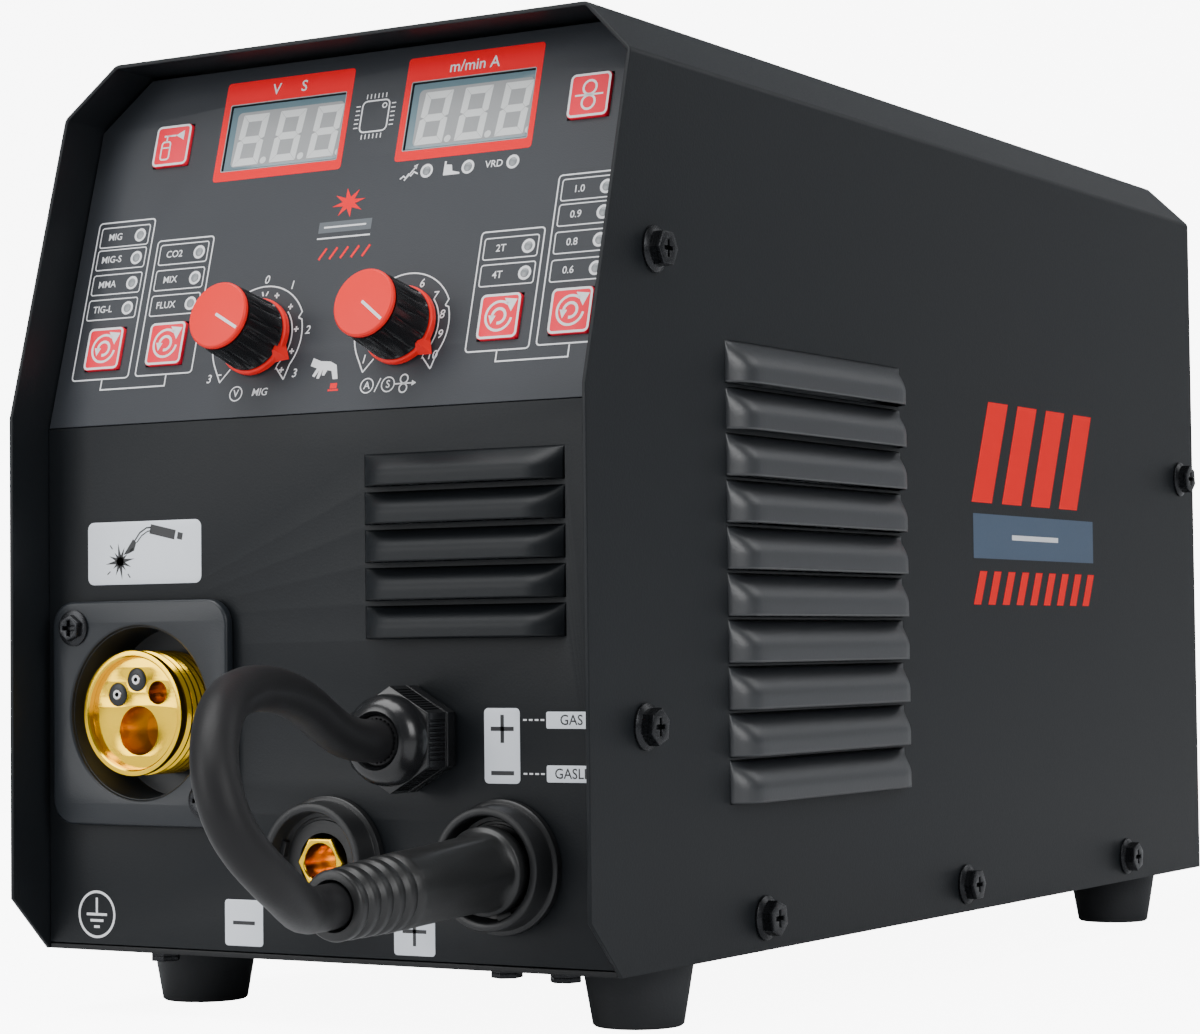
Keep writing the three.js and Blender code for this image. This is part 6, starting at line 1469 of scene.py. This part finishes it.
for name, node, body, radius, bore in (("drive_wheel", "drive_roll", "drive", 15, 4.3),
                                       ("pressure_wheel", "pressure_roll", "idler", 11, 3.3)):
    low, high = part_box(node)
    middle = (low + high) / 2
    place = Matrix.Translation(middle) @ Matrix.Rotation(math.pi / 2, 4, "Y") @ Matrix.Scale(0.001, 4)
    rows = [(bore, -5), (radius - 5, -5), (radius - 4.6, -4.6), (radius - 2, -4.6), (radius - 1.6, -5),
            (radius - 0.5, -5), (radius, -4.5), (radius, -0.9), (radius - 0.8, 0), (radius, 0.9),
            (radius, 4.5), (radius - 0.5, 5), (radius - 1.6, 5), (radius - 2, 4.6), (radius - 4.6, 4.6),
            (radius - 5, 5), (bore, 5), (bore, -5)]
    seat(turned_piece(name, rows, place, 72), body, "steel", bright_steel, node)
low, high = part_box("wire_spool")
spool_middle = (low + high) / 2
SPOOL = Matrix.Translation(spool_middle) @ Matrix.Rotation(-math.pi / 2, 4, "Y") @ Matrix.Scale(0.001, 4)
SPOOL_HALF, SPOOL_RADIUS, SPOOL_BORE, WIRE_PACK, SPOKES = 27.0, 100.0, 25.5, 84.0, 6
windows = []
for k in range(SPOKES):
    start, end = 2 * math.pi * k / SPOKES + 0.12, 2 * math.pi * (k + 1) / SPOKES - 0.12
    outer_arc = [(58 * math.cos(start + (end - start) * i / 10),
                  58 * math.sin(start + (end - start) * i / 10)) for i in range(11)]
    inner_arc = [(36 * math.cos(end - (end - start) * i / 10), 36 * math.sin(end - (end - start) * i / 10))
                 for i in range(11)]
    windows.append(outer_arc + inner_arc)
bore_hole = round_path(0, 0, SPOOL_BORE, 48)
cheeks = [plate("cheek_out", round_path(0, 0, SPOOL_RADIUS, 120), [bore_hole, *windows], SPOOL_HALF - 3,
                SPOOL_HALF, SPOOL, 0.6), plate("cheek_in", round_path(0, 0, SPOOL_RADIUS, 120), [bore_hole],
                                               -SPOOL_HALF, -SPOOL_HALF + 3, SPOOL, 0.6),
          turned_piece("spool_tube", [(SPOOL_BORE, -SPOOL_HALF + 1), (31, -SPOOL_HALF + 1),
                                      (31, SPOOL_HALF - 1), (SPOOL_BORE, SPOOL_HALF - 1),
                                      (SPOOL_BORE, -SPOOL_HALF + 1)], SPOOL, 64)]
seat(gathered("spool_body", cheeks), "spool", "spool_plastic", spool_grey, "wire_spool")
wire_rows = [(60, -SPOOL_HALF + 3.1)]
TURNS_ACROSS = 44
for k in range(TURNS_ACROSS):
    z = -SPOOL_HALF + 3.1 + (2 * SPOOL_HALF - 6.2) * k / TURNS_ACROSS
    step = (2 * SPOOL_HALF - 6.2) / TURNS_ACROSS
    wire_rows += [(WIRE_PACK - 0.45, z), (WIRE_PACK - 0.1, z + 0.22 * step), (WIRE_PACK, z + 0.5 * step),
                  (WIRE_PACK - 0.1, z + 0.78 * step)]
wire_rows += [(WIRE_PACK - 0.45, SPOOL_HALF - 3.1), (60, SPOOL_HALF - 3.1), (60, -SPOOL_HALF + 3.1)]
seat(turned_piece("spool_wire", wire_rows, SPOOL, 96, smooth_angle=60), "spool", "enamelled_copper",
     copper_wire)


# ---- Power electronics ---------------------------------------------------------------
# On the right of the divider: a green board with capacitors and a finned heat sink, a
# transformer below it, and the control board with its potentiometers behind the face.
board_green = made_of("board_green", (0.010, 0.075, 0.032), (0.014, 0.10, 0.042), (0.3, 0.42), 900, 0.00003,
                      patch_size=90, coat=0.3)
can_blue = made_of("can_sleeve", (0.012, 0.016, 0.030), (0.018, 0.024, 0.042), (0.26, 0.36), 900, 0.00002,
                   patch_size=60)
core_steel = made_of("core_steel", (0.10, 0.105, 0.11), (0.15, 0.155, 0.16), (0.4, 0.55), 600, 0.00008,
                     patch_size=60, metallic=0.7)
winding = made_of("winding_enamel", (0.40, 0.13, 0.045), (0.50, 0.18, 0.07), (0.24, 0.36), 700, 0.0001,
                  patch_size=60, metallic=0.6, coat=0.4)
seat(eased("power_circuit_board", "power_board", 0.3), "case", "circuit_board", board_green, "power_board")
board_low, board_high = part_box("power_board")
cans = []
for k in range(3):
    spot = Matrix.Translation((board_low.x + 0.020, board_low.y + 0.034 + 0.042 * k,
                               board_high.z)) @ Matrix.Scale(0.001, 4)
    cans.append(turned_piece(f"can_{k}", [(0, -38), (15.2, -38), (15.2, -3.4), (14.6, -2.6), (14.6, -1.8),
                                          (15.2, -1.0), (14.9, 0.25), (13.8, 0.5), (13.5, 0.2), (0, 0.2)],
                             spot, 56, smooth_angle=40))
seat(gathered("capacitor_sleeves", cans), "case", "circuit_board", can_blue)
seat(eased("heat_sink_fins", "heat_sink", 0.25), "case", "aluminium", aluminium, "heat_sink")
core_low, core_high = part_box("main_transformer")
TRANSFORMER = Matrix.Translation(((core_low.x + core_high.x) / 2, (core_low.y + core_high.y) / 2,
                                  core_low.z)) @ Matrix.Scale(0.001, 4)
laminations = []
for k in range(22):
    laminations.append(plate(f"lamination_{k}", soft_rectangle(-29.6 - 0.3 * (k % 2), 29.6 + 0.3 * (k % 2),
                                                               -21.6, 21.6, 1, 3), [], 2.0 * k,
                             2.0 * k + 1.95, TRANSFORMER, 0.08))
seat(gathered("transformer_core", laminations), "case", "steel", core_steel, "main_transformer")
coil_rows = []
for k in range(14):
    coil_rows.append(plate(f"coil_{k}", soft_rectangle(-20, 20, -42, 42, 12, 8), [], 6.0 + 2.28 * k,
                           6.0 + 2.28 * k + 2.2, TRANSFORMER, 0.9))
seat(gathered("transformer_winding", coil_rows), "case", "enamelled_copper", winding)
seat(eased("control_circuit_board", "control_board", 0.2), "case", "circuit_board", board_green,
     "control_board")
for key in ("left", "right"):
    seat(eased(f"knob_shaft_{key}", f"potentiometer_{key}", 0.25), "case", "steel", motor_steel,
         f"potentiometer_{key}")
